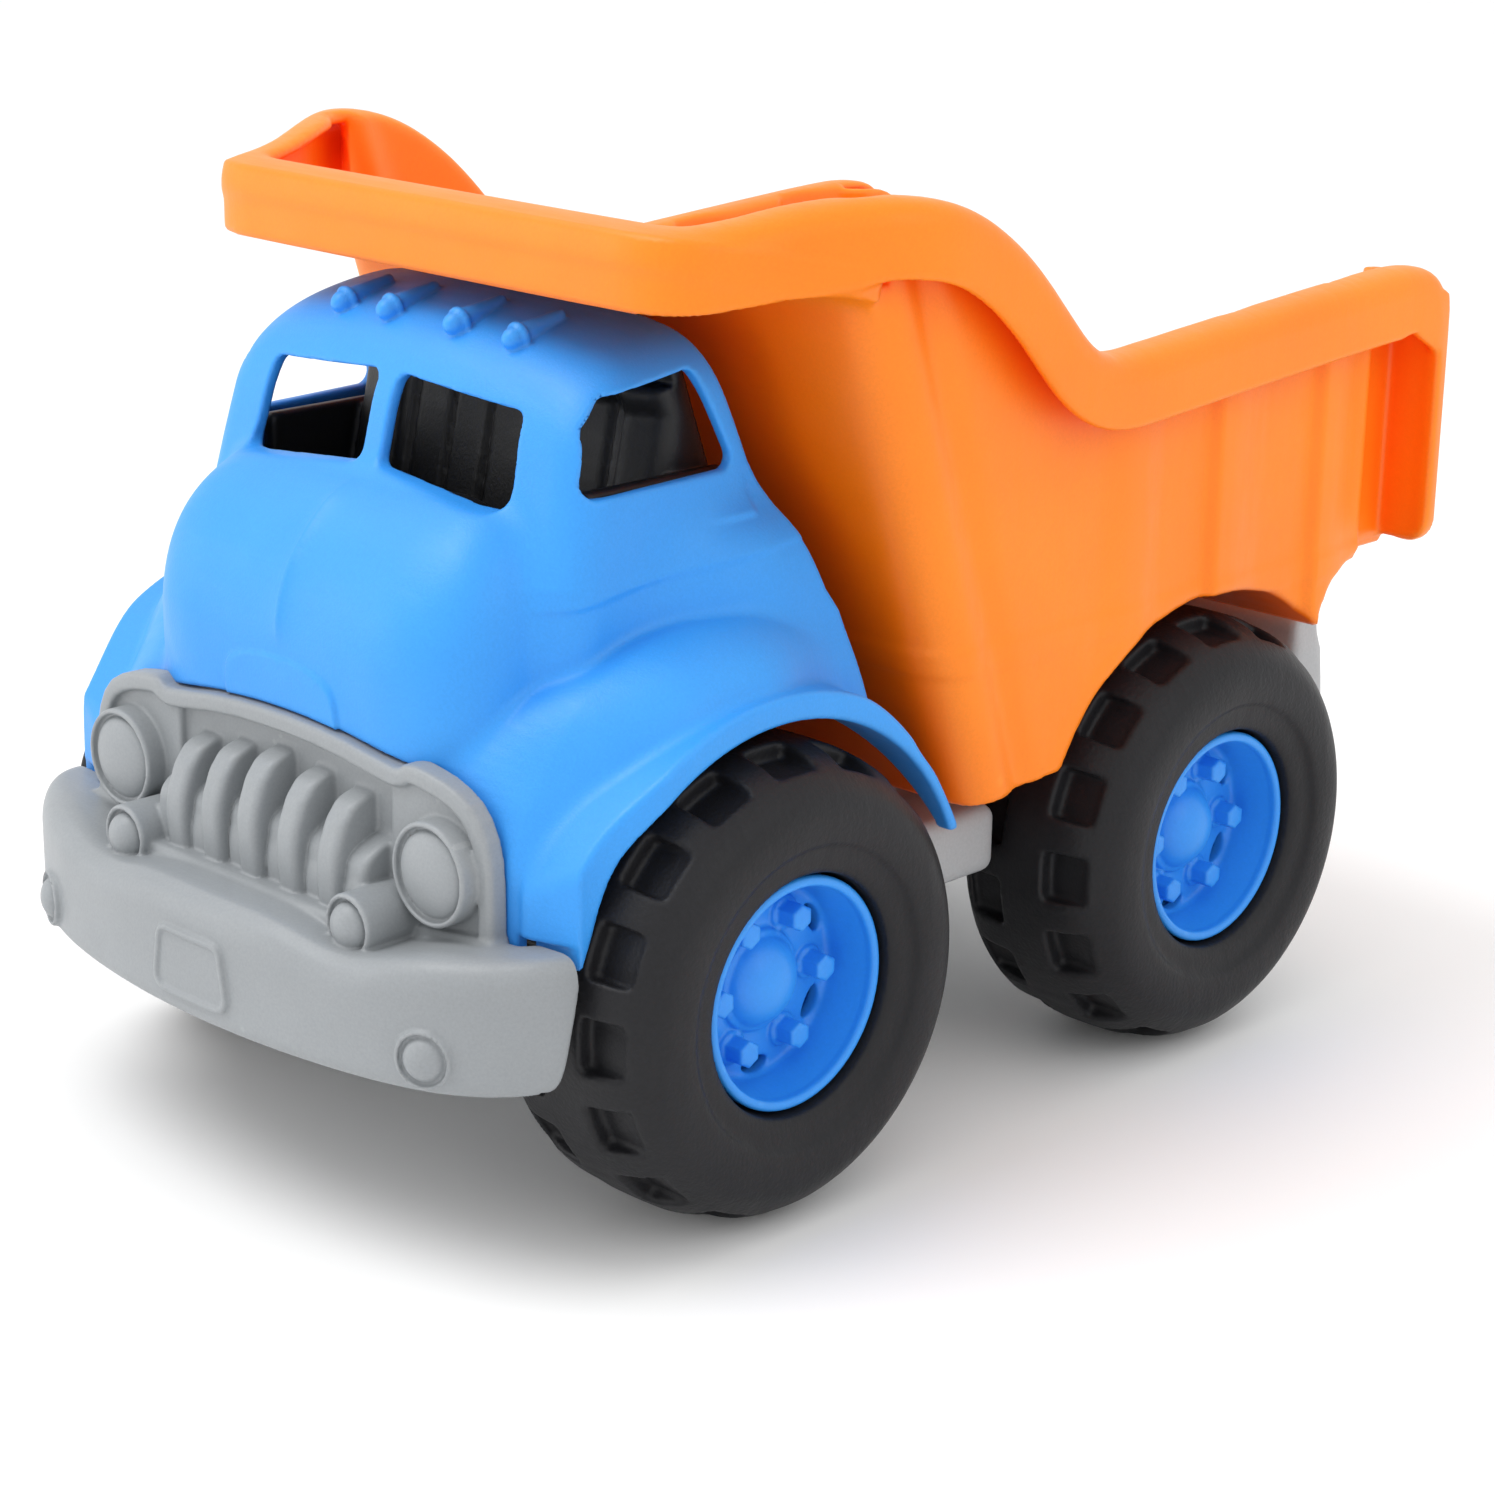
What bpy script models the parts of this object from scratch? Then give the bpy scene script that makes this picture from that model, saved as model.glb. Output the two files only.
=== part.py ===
"""Toy dump truck: cab, grille with bumper, interior, chassis, tipping bed and two wheelsets.

Lengths below are in millimetres and are turned into metres when a mesh is made.
The truck faces -Y, up is +Z, its left-right middle is X = 0 and its wheels stand on Z = 0.
"""

import math

import bmesh
import bpy
from mathutils import Matrix, Vector

MM = 0.001
GAP = 0.3
# The outlines below are drawn from a line this far ahead of the middle of the truck.
DATUM_Y = 4.4

# Wheels and axles
FRONT_AXLE_Y = -65.0
REAR_AXLE_Y = 61.5
TYRE_RADIUS = 45.5
TYRE_INNER_X = 47.5
TYRE_OUTER_X = 87.3
TYRE_BORE = 22.6
TREAD_POCKETS = 16
HUB_FACE_X = 83.3
HUB_DISC_X = 73.0
HUB_RADIUS = 22.3
LUG_CIRCLE = 13.2
VENT_CIRCLE = 16.6
AXLE_RADIUS = 3.0
AXLE_HALF_LENGTH = 70.0
WHEEL_STEPS = 32

# Cab
CAB_WALL = 2.6
CAB_BOTTOM_Z = 59.0
CAB_FRONT_Y = -113.4
FENDER_NOSE_HALF_WIDTH = 59.0
FENDER_HALF_WIDTH = 77.0
FENDER_RADIUS = 56.5
ARCH_RADIUS = 50.0
ROOF_LIGHT_X = (9.5, 24.1)

# Bed
HINGE_Y = 112.0
HINGE_Z = 84.0
HINGE_PIN_RADIUS = 2.6
BED_WALL_X = 79.5
BED_RIM_X = 86.0
BED_WALL = 2.6
BED_FLOOR_Z = 98.0
BED_REAR_Y = 131.5
RIM_DROP = 14.0
REAR_ARCH_RADIUS = 52.0

# Chassis
CHASSIS_HALF_WIDTH = 43.5
CHASSIS_MIDDLE_HALF_WIDTH = 64.0
REAR_MEMBER_HALF_WIDTH = 66.0
CHASSIS_WALL = 3.0
BEARING_RADIUS = 3.5

# Grille and bumper
GRILLE_FRONT_Y = -118.4
BUMPER_HALF_WIDTH = 75.5
BUMPER_FRONT_Y = -139.5
BUMPER_TOP_Z = 61.0
BUMPER_BOTTOM_Z = 36.0
HEADLIGHT_X = 45.8
HEADLIGHT_Z = 72.6
FOG_LIGHT_X = 33.0
FOG_LIGHT_Z = 60.2
BAR_SPACING = 11.3
BAR_HALF_WIDTH = 3.1
MARKER_LIGHT_X = 55.9
MARKER_LIGHT_Z = 43.6

BLUE = (0.035, 0.235, 0.78)
GREY = (0.36, 0.37, 0.38)
ORANGE = (1.0, 0.235, 0.012)
BLACK = (0.012, 0.012, 0.013)
TYRE_BLACK = (0.018, 0.018, 0.019)
PIN_GREY = (0.30, 0.31, 0.32)


def clear_scene():
    for obj in list(bpy.data.objects):
        bpy.data.objects.remove(obj, do_unlink=True)


def helper_collection():
    """Collection of the solids that only shape other solids."""
    found = bpy.data.collections.get("helpers")
    if found is None:
        found = bpy.data.collections.new("helpers")
        bpy.context.scene.collection.children.link(found)
    return found


def material(name, colour, roughness):
    found = bpy.data.materials.new(name)
    found.use_nodes = True
    shader = found.node_tree.nodes["Principled BSDF"]
    shader.inputs["Base Color"].default_value = (*colour, 1.0)
    shader.inputs["Roughness"].default_value = roughness
    return found


def mesh_object(name, mesh, helper):
    obj = bpy.data.objects.new(name, mesh)
    if helper:
        helper_collection().objects.link(obj)
        obj.hide_render = True
        obj.display_type = "WIRE"
    else:
        bpy.context.scene.collection.objects.link(obj)
    return obj


def from_bmesh(name, bm, helper=True, datum=0.0):
    bmesh.ops.recalc_face_normals(bm, faces=bm.faces)
    bmesh.ops.translate(bm, vec=(0.0, datum, 0.0), verts=bm.verts)
    bmesh.ops.scale(bm, vec=(MM, MM, MM), verts=bm.verts)
    mesh = bpy.data.meshes.new(name)
    bm.to_mesh(mesh)
    bm.free()
    return mesh_object(name, mesh, helper)


def loft(name, rings, helper=True):
    """Closed solid through rings that all have the same number of points."""
    bm = bmesh.new()
    rows = [[bm.verts.new(point) for point in ring] for ring in rings]
    count = len(rings[0])
    for lower, upper in zip(rows, rows[1:]):
        for i in range(count):
            j = (i + 1) % count
            bm.faces.new((lower[i], lower[j], upper[j], upper[i]))
    bm.faces.new(rows[0])
    bm.faces.new(rows[-1])
    return from_bmesh(name, bm, helper, DATUM_Y)


def rounded(corners, radius, steps=3):
    """Outline with each corner of a polygon replaced by a short arc."""
    out = []
    count = len(corners)
    for i, corner in enumerate(corners):
        here = Vector(corner)
        before = (Vector(corners[i - 1]) - here).normalized()
        after = (Vector(corners[(i + 1) % count]) - here).normalized()
        angle = before.angle(after)
        reach = radius / math.tan(angle / 2)
        centre = here + (before + after).normalized() * (radius / math.sin(angle / 2))
        start = here + before * reach - centre
        turn = start.angle_signed(here + after * reach - centre)
        for k in range(steps + 1):
            part = turn * k / steps
            spun = Matrix.Rotation(-part, 2) @ start
            out.append(tuple(centre + spun))
    return out


def prism_x(name, outline, low, high, helper=True):
    """Outline in (Y, Z), drawn out along X."""
    rings = [[(x, y, z) for y, z in outline] for x in (low, high)]
    return loft(name, rings, helper)


def prism_y(name, outline, low, high, helper=True):
    """Outline in (X, Z), drawn out along Y."""
    rings = [[(x, y, z) for x, z in outline] for y in (low, high)]
    return loft(name, rings, helper)


def prism_z(name, outline, low, high, helper=True):
    """Outline in (X, Y), drawn out along Z."""
    rings = [[(x, y, z) for x, y in outline] for z in (low, high)]
    return loft(name, rings, helper)


def box(name, low, high, helper=True):
    (x0, y0, z0), (x1, y1, z1) = low, high
    return prism_z(name, [(x0, y0), (x1, y0), (x1, y1), (x0, y1)], z0, z1, helper)


def circle(centre_a, centre_b, radius, steps):
    turns = [2 * math.pi * i / steps for i in range(steps)]
    return [(centre_a + radius * math.cos(t), centre_b + radius * math.sin(t)) for t in turns]


def rod_x(name, y, z, radius, low, high, steps=24, helper=True):
    return prism_x(name, circle(y, z, radius, steps), low, high, helper)


def rod_y(name, x, z, radius, low, high, steps=20, helper=True):
    return prism_y(name, circle(x, z, radius, steps), low, high, helper)


def combine(target, other, operation):
    modifier = target.modifiers.new(other.name, "BOOLEAN")
    modifier.object = other
    modifier.operation = operation
    modifier.solver = "EXACT"
    return target


def add(target, *others):
    for other in others:
        combine(target, other, "UNION")


def cut(target, *others):
    for other in others:
        combine(target, other, "DIFFERENCE")


def turned(name, profile, steps, flip=False):
    """Solid turned about X. The profile is (distance along X, radius), closed back to its start."""
    mesh = bpy.data.meshes.new(name)
    points = [(x * MM, r * MM, 0.0) for x, r in profile]
    edges = [(i, (i + 1) % len(points)) for i in range(len(points))]
    mesh.from_pydata(points, edges, [])
    obj = mesh_object(name, mesh, helper=False)
    screw = obj.modifiers.new("turn", "SCREW")
    screw.axis = "X"
    screw.steps = steps
    screw.render_steps = steps
    screw.use_merge_vertices = True
    screw.merge_threshold = 0.00001
    screw.use_normal_calculate = True
    screw.use_normal_flip = flip
    return obj


def finish(obj, mat, sharp_angle=35):
    obj.data.materials.clear()
    obj.data.materials.append(mat)
    obj.data.shade_smooth()
    obj.data.set_sharp_from_angle(angle=math.radians(sharp_angle))
    return obj


def origin_to(obj, x, y, z):
    """Moves the object's origin there and leaves its shape where it is."""
    shift = Vector((x, y + DATUM_Y, z)) * MM
    obj.data.transform(Matrix.Translation(-shift))
    obj.location = shift


# ---------------------------------------------------------------- cab

# Height, front Y, rear Y, half width and squareness of the cab body's outline.
CAB_LEVELS = (
    (52.0, -113.4, -12.0, 66.0, 3.2),
    (88.0, -115.5, -29.0, 68.0, 2.7),
    (101.0, -117.0, -34.0, 67.5, 2.5),
    (112.0, -115.5, -38.0, 66.0, 2.4),
    (122.0, -109.5, -41.5, 64.0, 2.5),
    (129.5, -102.0, -44.0, 61.0, 2.8),
    (134.0, -97.0, -46.0, 55.5, 3.6),
    (151.0, -90.6, -52.0, 51.0, 4.0),
    (156.0, -88.0, -54.0, 49.5, 3.7),
    (160.0, -81.5, -56.0, 46.5, 3.2),
    (162.8, -74.0, -57.4, 42.0, 2.9),
    (164.6, -67.0, -58.2, 34.0, 2.6),
)
# Rear edge of the cab in (Y, Z), from the roof down to the sill.
REAR_EDGE = (
    (-59.0, 172.0), (-57.0, 164.0), (-47.5, 138.0), (-37.8, 111.0),
    (-29.5, 87.0), (-20.5, 64.0), (-20.5, 40.0),
)


def cab_outline(front, rear, half_width, power, steps=12):
    """Half of a superellipse with its flat side at the rear, as (X, Y)."""
    points = []
    for i in range(steps + 1):
        turn = math.pi * i / steps
        c, s = math.cos(turn), math.sin(turn)
        x = half_width * math.copysign(abs(c) ** (2 / power), c)
        y = rear + (front - rear) * abs(s) ** (2 / power)
        points.append((x, y))
    return points


def cab_body(name):
    rings = []
    for z, front, rear, half_width, power in CAB_LEVELS:
        outline = cab_outline(front, rear, half_width, power)
        rings.append([(x, y, z) for x, y in outline])
    return loft(name, rings, helper=False)


def cab_hollow(name):
    """The cab body moved in by its wall, open below and behind."""
    ceiling = CAB_LEVELS[-1][0] - CAB_WALL
    rings = []
    for z, front, rear, half_width, power in CAB_LEVELS:
        if z > ceiling - 0.4 and z < CAB_LEVELS[-1][0]:
            continue
        outline = cab_outline(front + CAB_WALL, rear + 12.0, half_width - CAB_WALL, power)
        height = min(z, ceiling) if rings else 40.0
        rings.append([(x, y, height) for x, y in outline])
    return loft(name, rings)


def fender(name, inset):
    """Drum over the front wheels with rounded outer edges."""
    radius = FENDER_RADIUS - inset
    edge = FENDER_HALF_WIDTH - inset
    corner = ((edge, radius - 6.0), (edge - 2.5, radius - 1.8), (edge - 9.0, radius))
    stations = [(-x, r) for x, r in corner] + list(reversed(corner))
    rings = []
    for x, r in stations:
        rings.append([(x, y, z) for y, z in circle(FRONT_AXLE_Y, TYRE_RADIUS, r, 32)])
    drum = loft(name, rings)
    nose, side = FENDER_NOSE_HALF_WIDTH - inset, FENDER_HALF_WIDTH + 0.2 - inset
    plan = [(-side, 10.0), (-side, -82.0), (-nose, -124.0), (nose, -124.0), (side, -82.0), (side, 10.0)]
    combine(drum, prism_z(name + "_plan", plan, -20.0, 120.0), "INTERSECT")
    return drum


def behind(name, edge, far):
    """Block of everything behind an edge line given from top to bottom."""
    outline = list(edge) + [(far, edge[-1][1]), (far, edge[0][1])]
    return prism_x(name, outline, -100.0, 100.0)


def cab_shell(mat):
    shell = cab_body("cab_shell")
    add(shell, fender("fender_outer", 0.0))
    for side in (-1, 1):
        for x in ROOF_LIGHT_X:
            add(shell, roof_light(side * x))
    hollow = cab_hollow("cab_hollow")
    add(hollow, fender("fender_hollow", CAB_WALL))
    cut(shell, hollow)
    cut(shell, rod_x("arch_opening", FRONT_AXLE_Y, TYRE_RADIUS - 1.0, ARCH_RADIUS, -95.0, 95.0, 32))
    cut(shell, behind("cab_rear_trim", REAR_EDGE, 30.0))
    cut(shell, box("cab_bottom_trim", (-95.0, -140.0, -20.0), (95.0, -64.0, CAB_BOTTOM_Z)))
    cut(shell, box("cab_tip_trim", (-95.0, -64.5, -20.0), (95.0, 0.0, 64.0)))
    cut(shell, box("cab_front_trim", (-95.0, -150.0, 20.0), (95.0, CAB_FRONT_Y, 92.6)))
    for side in (-1, 1):
        pane = [(side * 2.6, 151.2), (side * 35.0, 148.8), (side * 36.8, 132.0), (side * 2.6, 134.9)]
        cut(shell, prism_y("windscreen_%d" % side, rounded(pane, 2.0), -125.0, -66.0))
    window = [(-84.5, 152.6), (-59.0, 155.8), (-51.5, 136.8), (-88.0, 135.6)]
    cut(shell, prism_x("side_window", rounded(window, 3.0), -80.0, 80.0))
    return finish(shell, mat)


def roof_light(x):
    """Bullet-shaped marker light lying back along the roof."""
    tip_y, tip_z = -81.6, 160.4
    rings = []
    for back, radius in ((-2.2, 0.6), (-1.6, 1.7), (0.0, 2.4), (2.2, 2.4), (2.4, 1.9), (13.0, 1.1)):
        y = tip_y + back
        z = tip_z + back * 0.28
        rings.append([(x + a, y, z + b) for a, b in circle(0.0, 0.0, radius, 10)])
    return loft("roof_light_%.0f" % x, rings)


# ---------------------------------------------------------------- grille and bumper

GRILLE_OUTLINE = (
    (58.0, 59.5), (58.0, 77.0), (54.0, 84.4), (46.5, 89.2), (37.0, 90.2),
    (34.6, 88.8), (30.0, 89.6), (15.0, 91.6), (0.0, 92.2),
)


def mirrored(half):
    return list(half) + [(-x, z) for x, z in reversed(half) if abs(x) > 0.01]


def shrunk(half, amount, floor):
    """The half outline moved inwards towards the grille's middle."""
    out = []
    for x, z in half:
        out.append((max(x - amount, 0.0), max(z - amount * 0.9, floor)))
    return out


def bumper_front(x):
    """Y of the bumper's front face at a distance from the middle."""
    share = abs(x) / BUMPER_HALF_WIDTH
    return BUMPER_FRONT_Y + 14.0 * share**2 + 9.0 * share**9


def bumper(name):
    right = [21.0, 42.0, 56.0, 65.0, 71.0, 74.6, BUMPER_HALF_WIDTH]
    rings = []
    for x in [-x for x in reversed(right)] + [0.0] + right:
        front = bumper_front(x)
        share = abs(x) / BUMPER_HALF_WIDTH
        back = min(max(front + 5.0, -126.0 + 12.5 * share**4), CAB_FRONT_Y - GAP)
        top = BUMPER_TOP_Z + 2.0 * share**2
        low = BUMPER_BOTTOM_Z + 4.0 * share**3
        section = ((back, top), (front + 3.0, top), (front + 0.8, top - 1.4), (front, top - 5.0),
                   (front + 0.4, low + 3.0), (front + 2.2, low), (back, low + 0.5))
        rings.append([(x, y, z) for y, z in section])
    return loft(name, rings, helper=False)


def grille_bar(index, x, top, front):
    """Upright bar with a rounded front and a top that curves back."""
    side = [(-115.0, 58.0), (front, 58.0), (front, top - 6.0)]
    side += [(front + 1.2, top - 2.5), (front + 4.0, top), (-115.0, top + 0.5)]
    return prism_x("bar_%d" % index, side, x - BAR_HALF_WIDTH, x + BAR_HALF_WIDTH)


def grille_bumper(mat):
    grille = bumper("grille_bumper")
    add(grille, box("bumper_shelf", (-55.0, -124.0, 56.0), (55.0, CAB_FRONT_Y - GAP, 60.5)))
    border = prism_y("border", mirrored(GRILLE_OUTLINE), GRILLE_FRONT_Y, CAB_FRONT_Y - GAP)
    cut(border, prism_y("border_recess", mirrored(shrunk(GRILLE_OUTLINE, 4.0, 59.0)), -125.0, -116.0))
    add(grille, border)
    for i in range(-2, 3):
        add(grille, grille_bar(i + 2, i * BAR_SPACING, 84.6 - 0.9 * i * i, -125.8 + 0.3 * abs(i)))
    for side in (-1, 1):
        add(grille, rod_y("headlight_%d" % side, side * HEADLIGHT_X, HEADLIGHT_Z, 9.8, -121.4, -115.0))
        cut(grille, rod_y("lens_ring_%d" % side, side * HEADLIGHT_X, HEADLIGHT_Z, 8.5, -123.0, -120.2))
        add(grille, rod_y("fog_light_%d" % side, side * FOG_LIGHT_X, FOG_LIGHT_Z, 5.9, -130.0, -115.0, 16))
        front = bumper_front(MARKER_LIGHT_X)
        marker_x = side * MARKER_LIGHT_X
        span = (front - 1.4, front + 6.0)
        marker = rod_y("marker_light_%d" % side, marker_x, MARKER_LIGHT_Z, 5.4, *span, 16)
        add(grille, marker)
    plate = [(-8.6, 53.2), (8.6, 53.2), (10.2, 41.0), (-10.2, 41.0)]
    add(grille, prism_y("number_plate", rounded(plate, 2.0), BUMPER_FRONT_Y - 0.9, BUMPER_FRONT_Y + 6.0))
    cut(grille, box("bumper_hollow", (-34.0, -131.0, 20.0), (34.0, -117.0, 54.0)))
    return finish(grille, mat)


# ---------------------------------------------------------------- interior

def cab_interior(mat):
    """Black liner: back panel with grooves, seat and dash."""
    panel = [(-60.4, 157.2), (-57.6, 157.2), (-49.8, 137.0), (-40.2, 111.0), (-32.2, 87.0), (-29.5, 78.5)]
    panel += [(-29.5, 62.6), (-33.0, 62.6), (-33.0, 76.0), (-36.0, 87.0), (-44.0, 111.0), (-53.2, 137.0)]
    liner = prism_x("cab_interior", panel, -43.5, 43.5, helper=False)
    wide = [(-46.4, 127.0), (-43.7, 127.0), (-34.6, 94.0), (-37.8, 94.0)]
    add(liner, prism_x("panel_wide", wide, -57.0, 57.0))
    seat = [(-60.0, 152.0), (-53.0, 137.0), (-42.5, 106.0), (-43.0, 100.0)]
    seat += [(-68.0, 100.0), (-68.0, 112.0), (-59.5, 114.0), (-64.0, 150.0)]
    add(liner, prism_x("seat", seat, -34.0, 34.0))
    dash = [(-94.5, 104.0), (-94.5, 120.0), (-90.5, 127.0), (-84.0, 128.0), (-80.0, 124.0), (-80.0, 104.0)]
    add(liner, prism_x("dash", rounded(dash, 2.0, 2), -35.0, 35.0))
    add(liner, box("liner_floor", (-38.0, -94.5, 101.0), (38.0, -43.0, 105.0)))
    add(liner, box("liner_post", (-28.0, -90.0, 62.6), (28.0, -60.0, 102.0)))
    cut(liner, box("post_hollow", (-25.4, -87.4, 50.0), (25.4, -62.6, 99.6)))
    groove = [(-66.0, 156.0), (-60.4, 156.0), (-54.8, 114.0), (-61.0, 114.0)]
    for i in range(-2, 3):
        middle = i * 13.0
        cut(liner, prism_x("groove_%d" % i, groove, middle - 0.7, middle + 0.7))
    return finish(liner, mat)


# ---------------------------------------------------------------- chassis

def chassis(mat):
    """Long open-bottomed tray, wider between the wheels, with a rear cross member and hinge lugs."""
    tray_side = [(-112.5, 44.0), (-112.5, 58.0), (-108.0, 62.0), (92.0, 62.0), (104.0, 72.0), (114.0, 72.0)]
    tray_side += [(118.0, 66.0), (118.0, 50.0), (112.0, 40.0), (100.0, 34.5), (-100.0, 34.5)]
    tray = prism_x("chassis", tray_side, -CHASSIS_HALF_WIDTH, CHASSIS_HALF_WIDTH, helper=False)
    middle = [(-17.9, 45.0), (-17.9, 55.0), (-14.0, 59.5), (10.0, 59.5), (13.5, 55.0), (13.5, 45.0)]
    add(tray, prism_x("middle", middle, -CHASSIS_MIDDLE_HALF_WIDTH, CHASSIS_MIDDLE_HALF_WIDTH))
    rear = [(109.5, 50.3), (109.5, 73.5), (111.2, 76.5), (117.3, 76.5)]
    rear += [(121.0, 72.3), (122.5, 60.3), (121.5, 50.3)]
    add(tray, prism_x("rear_member", rear, -REAR_MEMBER_HALF_WIDTH, REAR_MEMBER_HALF_WIDTH))
    lug = [(106.0, 71.0), (106.0, 87.0), (109.0, 90.0), (115.0, 90.0), (118.4, 87.0), (118.4, 71.5)]
    for side in (-1, 1):
        add(tray, prism_x("lug_%d" % side, lug, *sorted((side * 24.0, side * 29.0))))
        low, high = sorted((side * 14.0, side * 38.0))
        add(tray, box("bed_rest_%d" % side, (low, -9.0, 60.5), (high, 5.0, 64.7)))
    hollow = [(-109.5, 20.0), (-109.5, 56.0), (-106.5, 59.0), (91.0, 59.0)]
    hollow += [(103.0, 69.0), (112.0, 69.0), (115.0, 65.2), (115.0, 20.0)]
    reach = CHASSIS_HALF_WIDTH - CHASSIS_WALL
    cut(tray, prism_x("tray_hollow", hollow, -reach, reach))
    middle_hollow = [(-15.2, 21.0), (-15.2, 54.0), (-12.6, 56.7), (8.6, 56.7), (10.8, 54.0), (10.8, 21.0)]
    reach = CHASSIS_MIDDLE_HALF_WIDTH - CHASSIS_WALL + 0.2
    cut(tray, prism_x("middle_hollow", middle_hollow, -reach, reach))
    member_hollow = [(112.6, 40.0), (112.6, 73.0), (117.2, 73.3), (118.8, 70.0), (119.3, 40.0)]
    reach = REAR_MEMBER_HALF_WIDTH - CHASSIS_WALL
    cut(tray, prism_x("member_hollow", member_hollow, -reach, reach))
    for axle_y in (FRONT_AXLE_Y, REAR_AXLE_Y):
        cut(tray, rod_x("bearing_%.0f" % axle_y, axle_y, TYRE_RADIUS, BEARING_RADIUS, -61.0, 61.0, 16))
    cut(tray, rod_x("lug_bore", HINGE_Y, HINGE_Z, HINGE_PIN_RADIUS + GAP, -40.5, 40.5, 16))
    origin_to(tray, 0.0, 0.0, TYRE_RADIUS)
    return finish(tray, mat)


# ---------------------------------------------------------------- dump bed

# Half width, Y and height of the rim's top edge, from the canopy's corner to the rear corner.
RIM_LINE = (
    (70.2, -64.0, 184.0), (75.8, -55.0, 186.0), (81.2, -46.0, 187.3), (84.6, -38.0, 187.8),
    (BED_RIM_X, -29.0, 186.8), (BED_RIM_X, -20.0, 183.6),
    (BED_RIM_X, -11.0, 178.2), (BED_RIM_X, -3.0, 171.6),
    (BED_RIM_X, 6.0, 162.2), (BED_RIM_X, 14.0, 155.0), (BED_RIM_X, 21.0, 152.4), (BED_RIM_X, 30.0, 152.4),
    (BED_RIM_X, 55.0, 154.2), (BED_RIM_X, 85.0, 156.3), (BED_RIM_X, 108.0, 157.9),
)
# Rear corner and rear leg of the rim: the top edge, then the edge of its skirt.
RIM_CORNER = (
    ((118.0, 158.0), (116.5, 143.8)),
    ((124.5, 156.4), (121.8, 143.2)),
    ((129.0, 152.6), (125.3, 141.6)),
    ((131.2, 147.0), (127.2, 138.8)),
    ((BED_REAR_Y, 120.0), (127.5, 120.0)),
    ((131.2, 96.8), (127.3, 96.8)),
)
CANOPY_FRONT_Y = -82.0
CANOPY_FRONT_Z = 182.8
CANOPY_HALF_WIDTH = 68.5
CANOPY_CORNER = 16.0
RIM_WEB = 9.4


def rim_stations():
    """Right half of the rim as (point, inward, down, drop), from the canopy's front to the rear leg."""
    stations = []
    for i in range(4):
        turn = math.pi / 2 * i / 3
        outward = Vector((math.sin(turn), -math.cos(turn), 0.0))
        height = CANOPY_FRONT_Z + 0.3 * i
        centre = Vector((CANOPY_HALF_WIDTH - CANOPY_CORNER, CANOPY_FRONT_Y + CANOPY_CORNER, height))
        stations.append((centre + outward * CANOPY_CORNER, -outward, Vector((0.0, 0.0, -1.0)), RIM_DROP))
    for i, here in enumerate(RIM_LINE):
        before = RIM_LINE[max(i - 1, 0)]
        after = RIM_LINE[min(i + 1, len(RIM_LINE) - 1)]
        along = (Vector(after) - Vector(before)).normalized()
        inward = Vector((-along.y, along.x, 0.0)).normalized()
        stations.append((Vector(here), inward, inward.cross(along), RIM_DROP))
    for (y, z), (skirt_y, skirt_z) in RIM_CORNER:
        down = Vector((0.0, skirt_y - y, skirt_z - z))
        here = Vector((BED_RIM_X, y, z))
        stations.append((here, Vector((-1.0, 0.0, 0.0)), down.normalized(), down.length))
    return stations


def rim(name):
    """Downturned rim: a flat top with a rounded outer edge and a skirt."""
    half = []
    for point, inward, down, drop in rim_stations():
        section = [(0.0, 3.5), (1.0, 1.0), (3.4, 0.0), (RIM_WEB, 0.0)]
        section += [(RIM_WEB, 2.6), (3.0, 3.0), (2.4, drop), (0.0, drop)]
        half.append([point + inward * a + down * b for a, b in section])
    other = [[(-p.x, p.y, p.z) for p in ring] for ring in reversed(half)]
    return loft(name, other + [[tuple(p) for p in ring] for ring in half], helper=False)


def canopy(name):
    """Shelf over the cab, inside the rim."""
    shelf = prism_x(name, [(-86.0, 181.4), (-86.0, 178.6), (-45.0, 169.6), (-43.0, 172.6)], -90.0, 90.0)
    right = [point + inward * 4.2 for point, inward, _, _ in rim_stations() if point.y < -42.0]
    right += [Vector((78.2, -42.0, 0.0)), Vector((78.2, -30.0, 0.0))]
    plan = [(p.x, p.y) for p in right] + [(-p.x, p.y) for p in reversed(right)]
    combine(shelf, prism_z(name + "_plan", plan, 150.0, 200.0), "INTERSECT")
    return shelf


def side_wall(name, side):
    top = [(-50.5, 171.5), (-48.0, 183.0)]
    top += [(y, z - 1.2) for _, y, z in RIM_LINE if y > -40.0]
    top += [(118.0, 156.6), (126.0, 152.0), (129.6, 145.0), (129.4, 98.2)]
    lower = [(112.0, 97.6), (101.5, 95.0), (100.8, 88.5)]
    for i in range(7):
        turn = math.radians(50.0 + 17.0 * i)
        across, up = REAR_ARCH_RADIUS * math.cos(turn), REAR_ARCH_RADIUS * math.sin(turn)
        lower.append((REAR_AXLE_Y + across, TYRE_RADIUS + up))
    lower += [(-10.0, 66.0), (-14.0, 68.0), (-45.5, 170.0)]
    outer, inner = side * BED_WALL_X, side * (BED_WALL_X - BED_WALL)
    return prism_x(name, top + lower, min(outer, inner), max(outer, inner))


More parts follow.
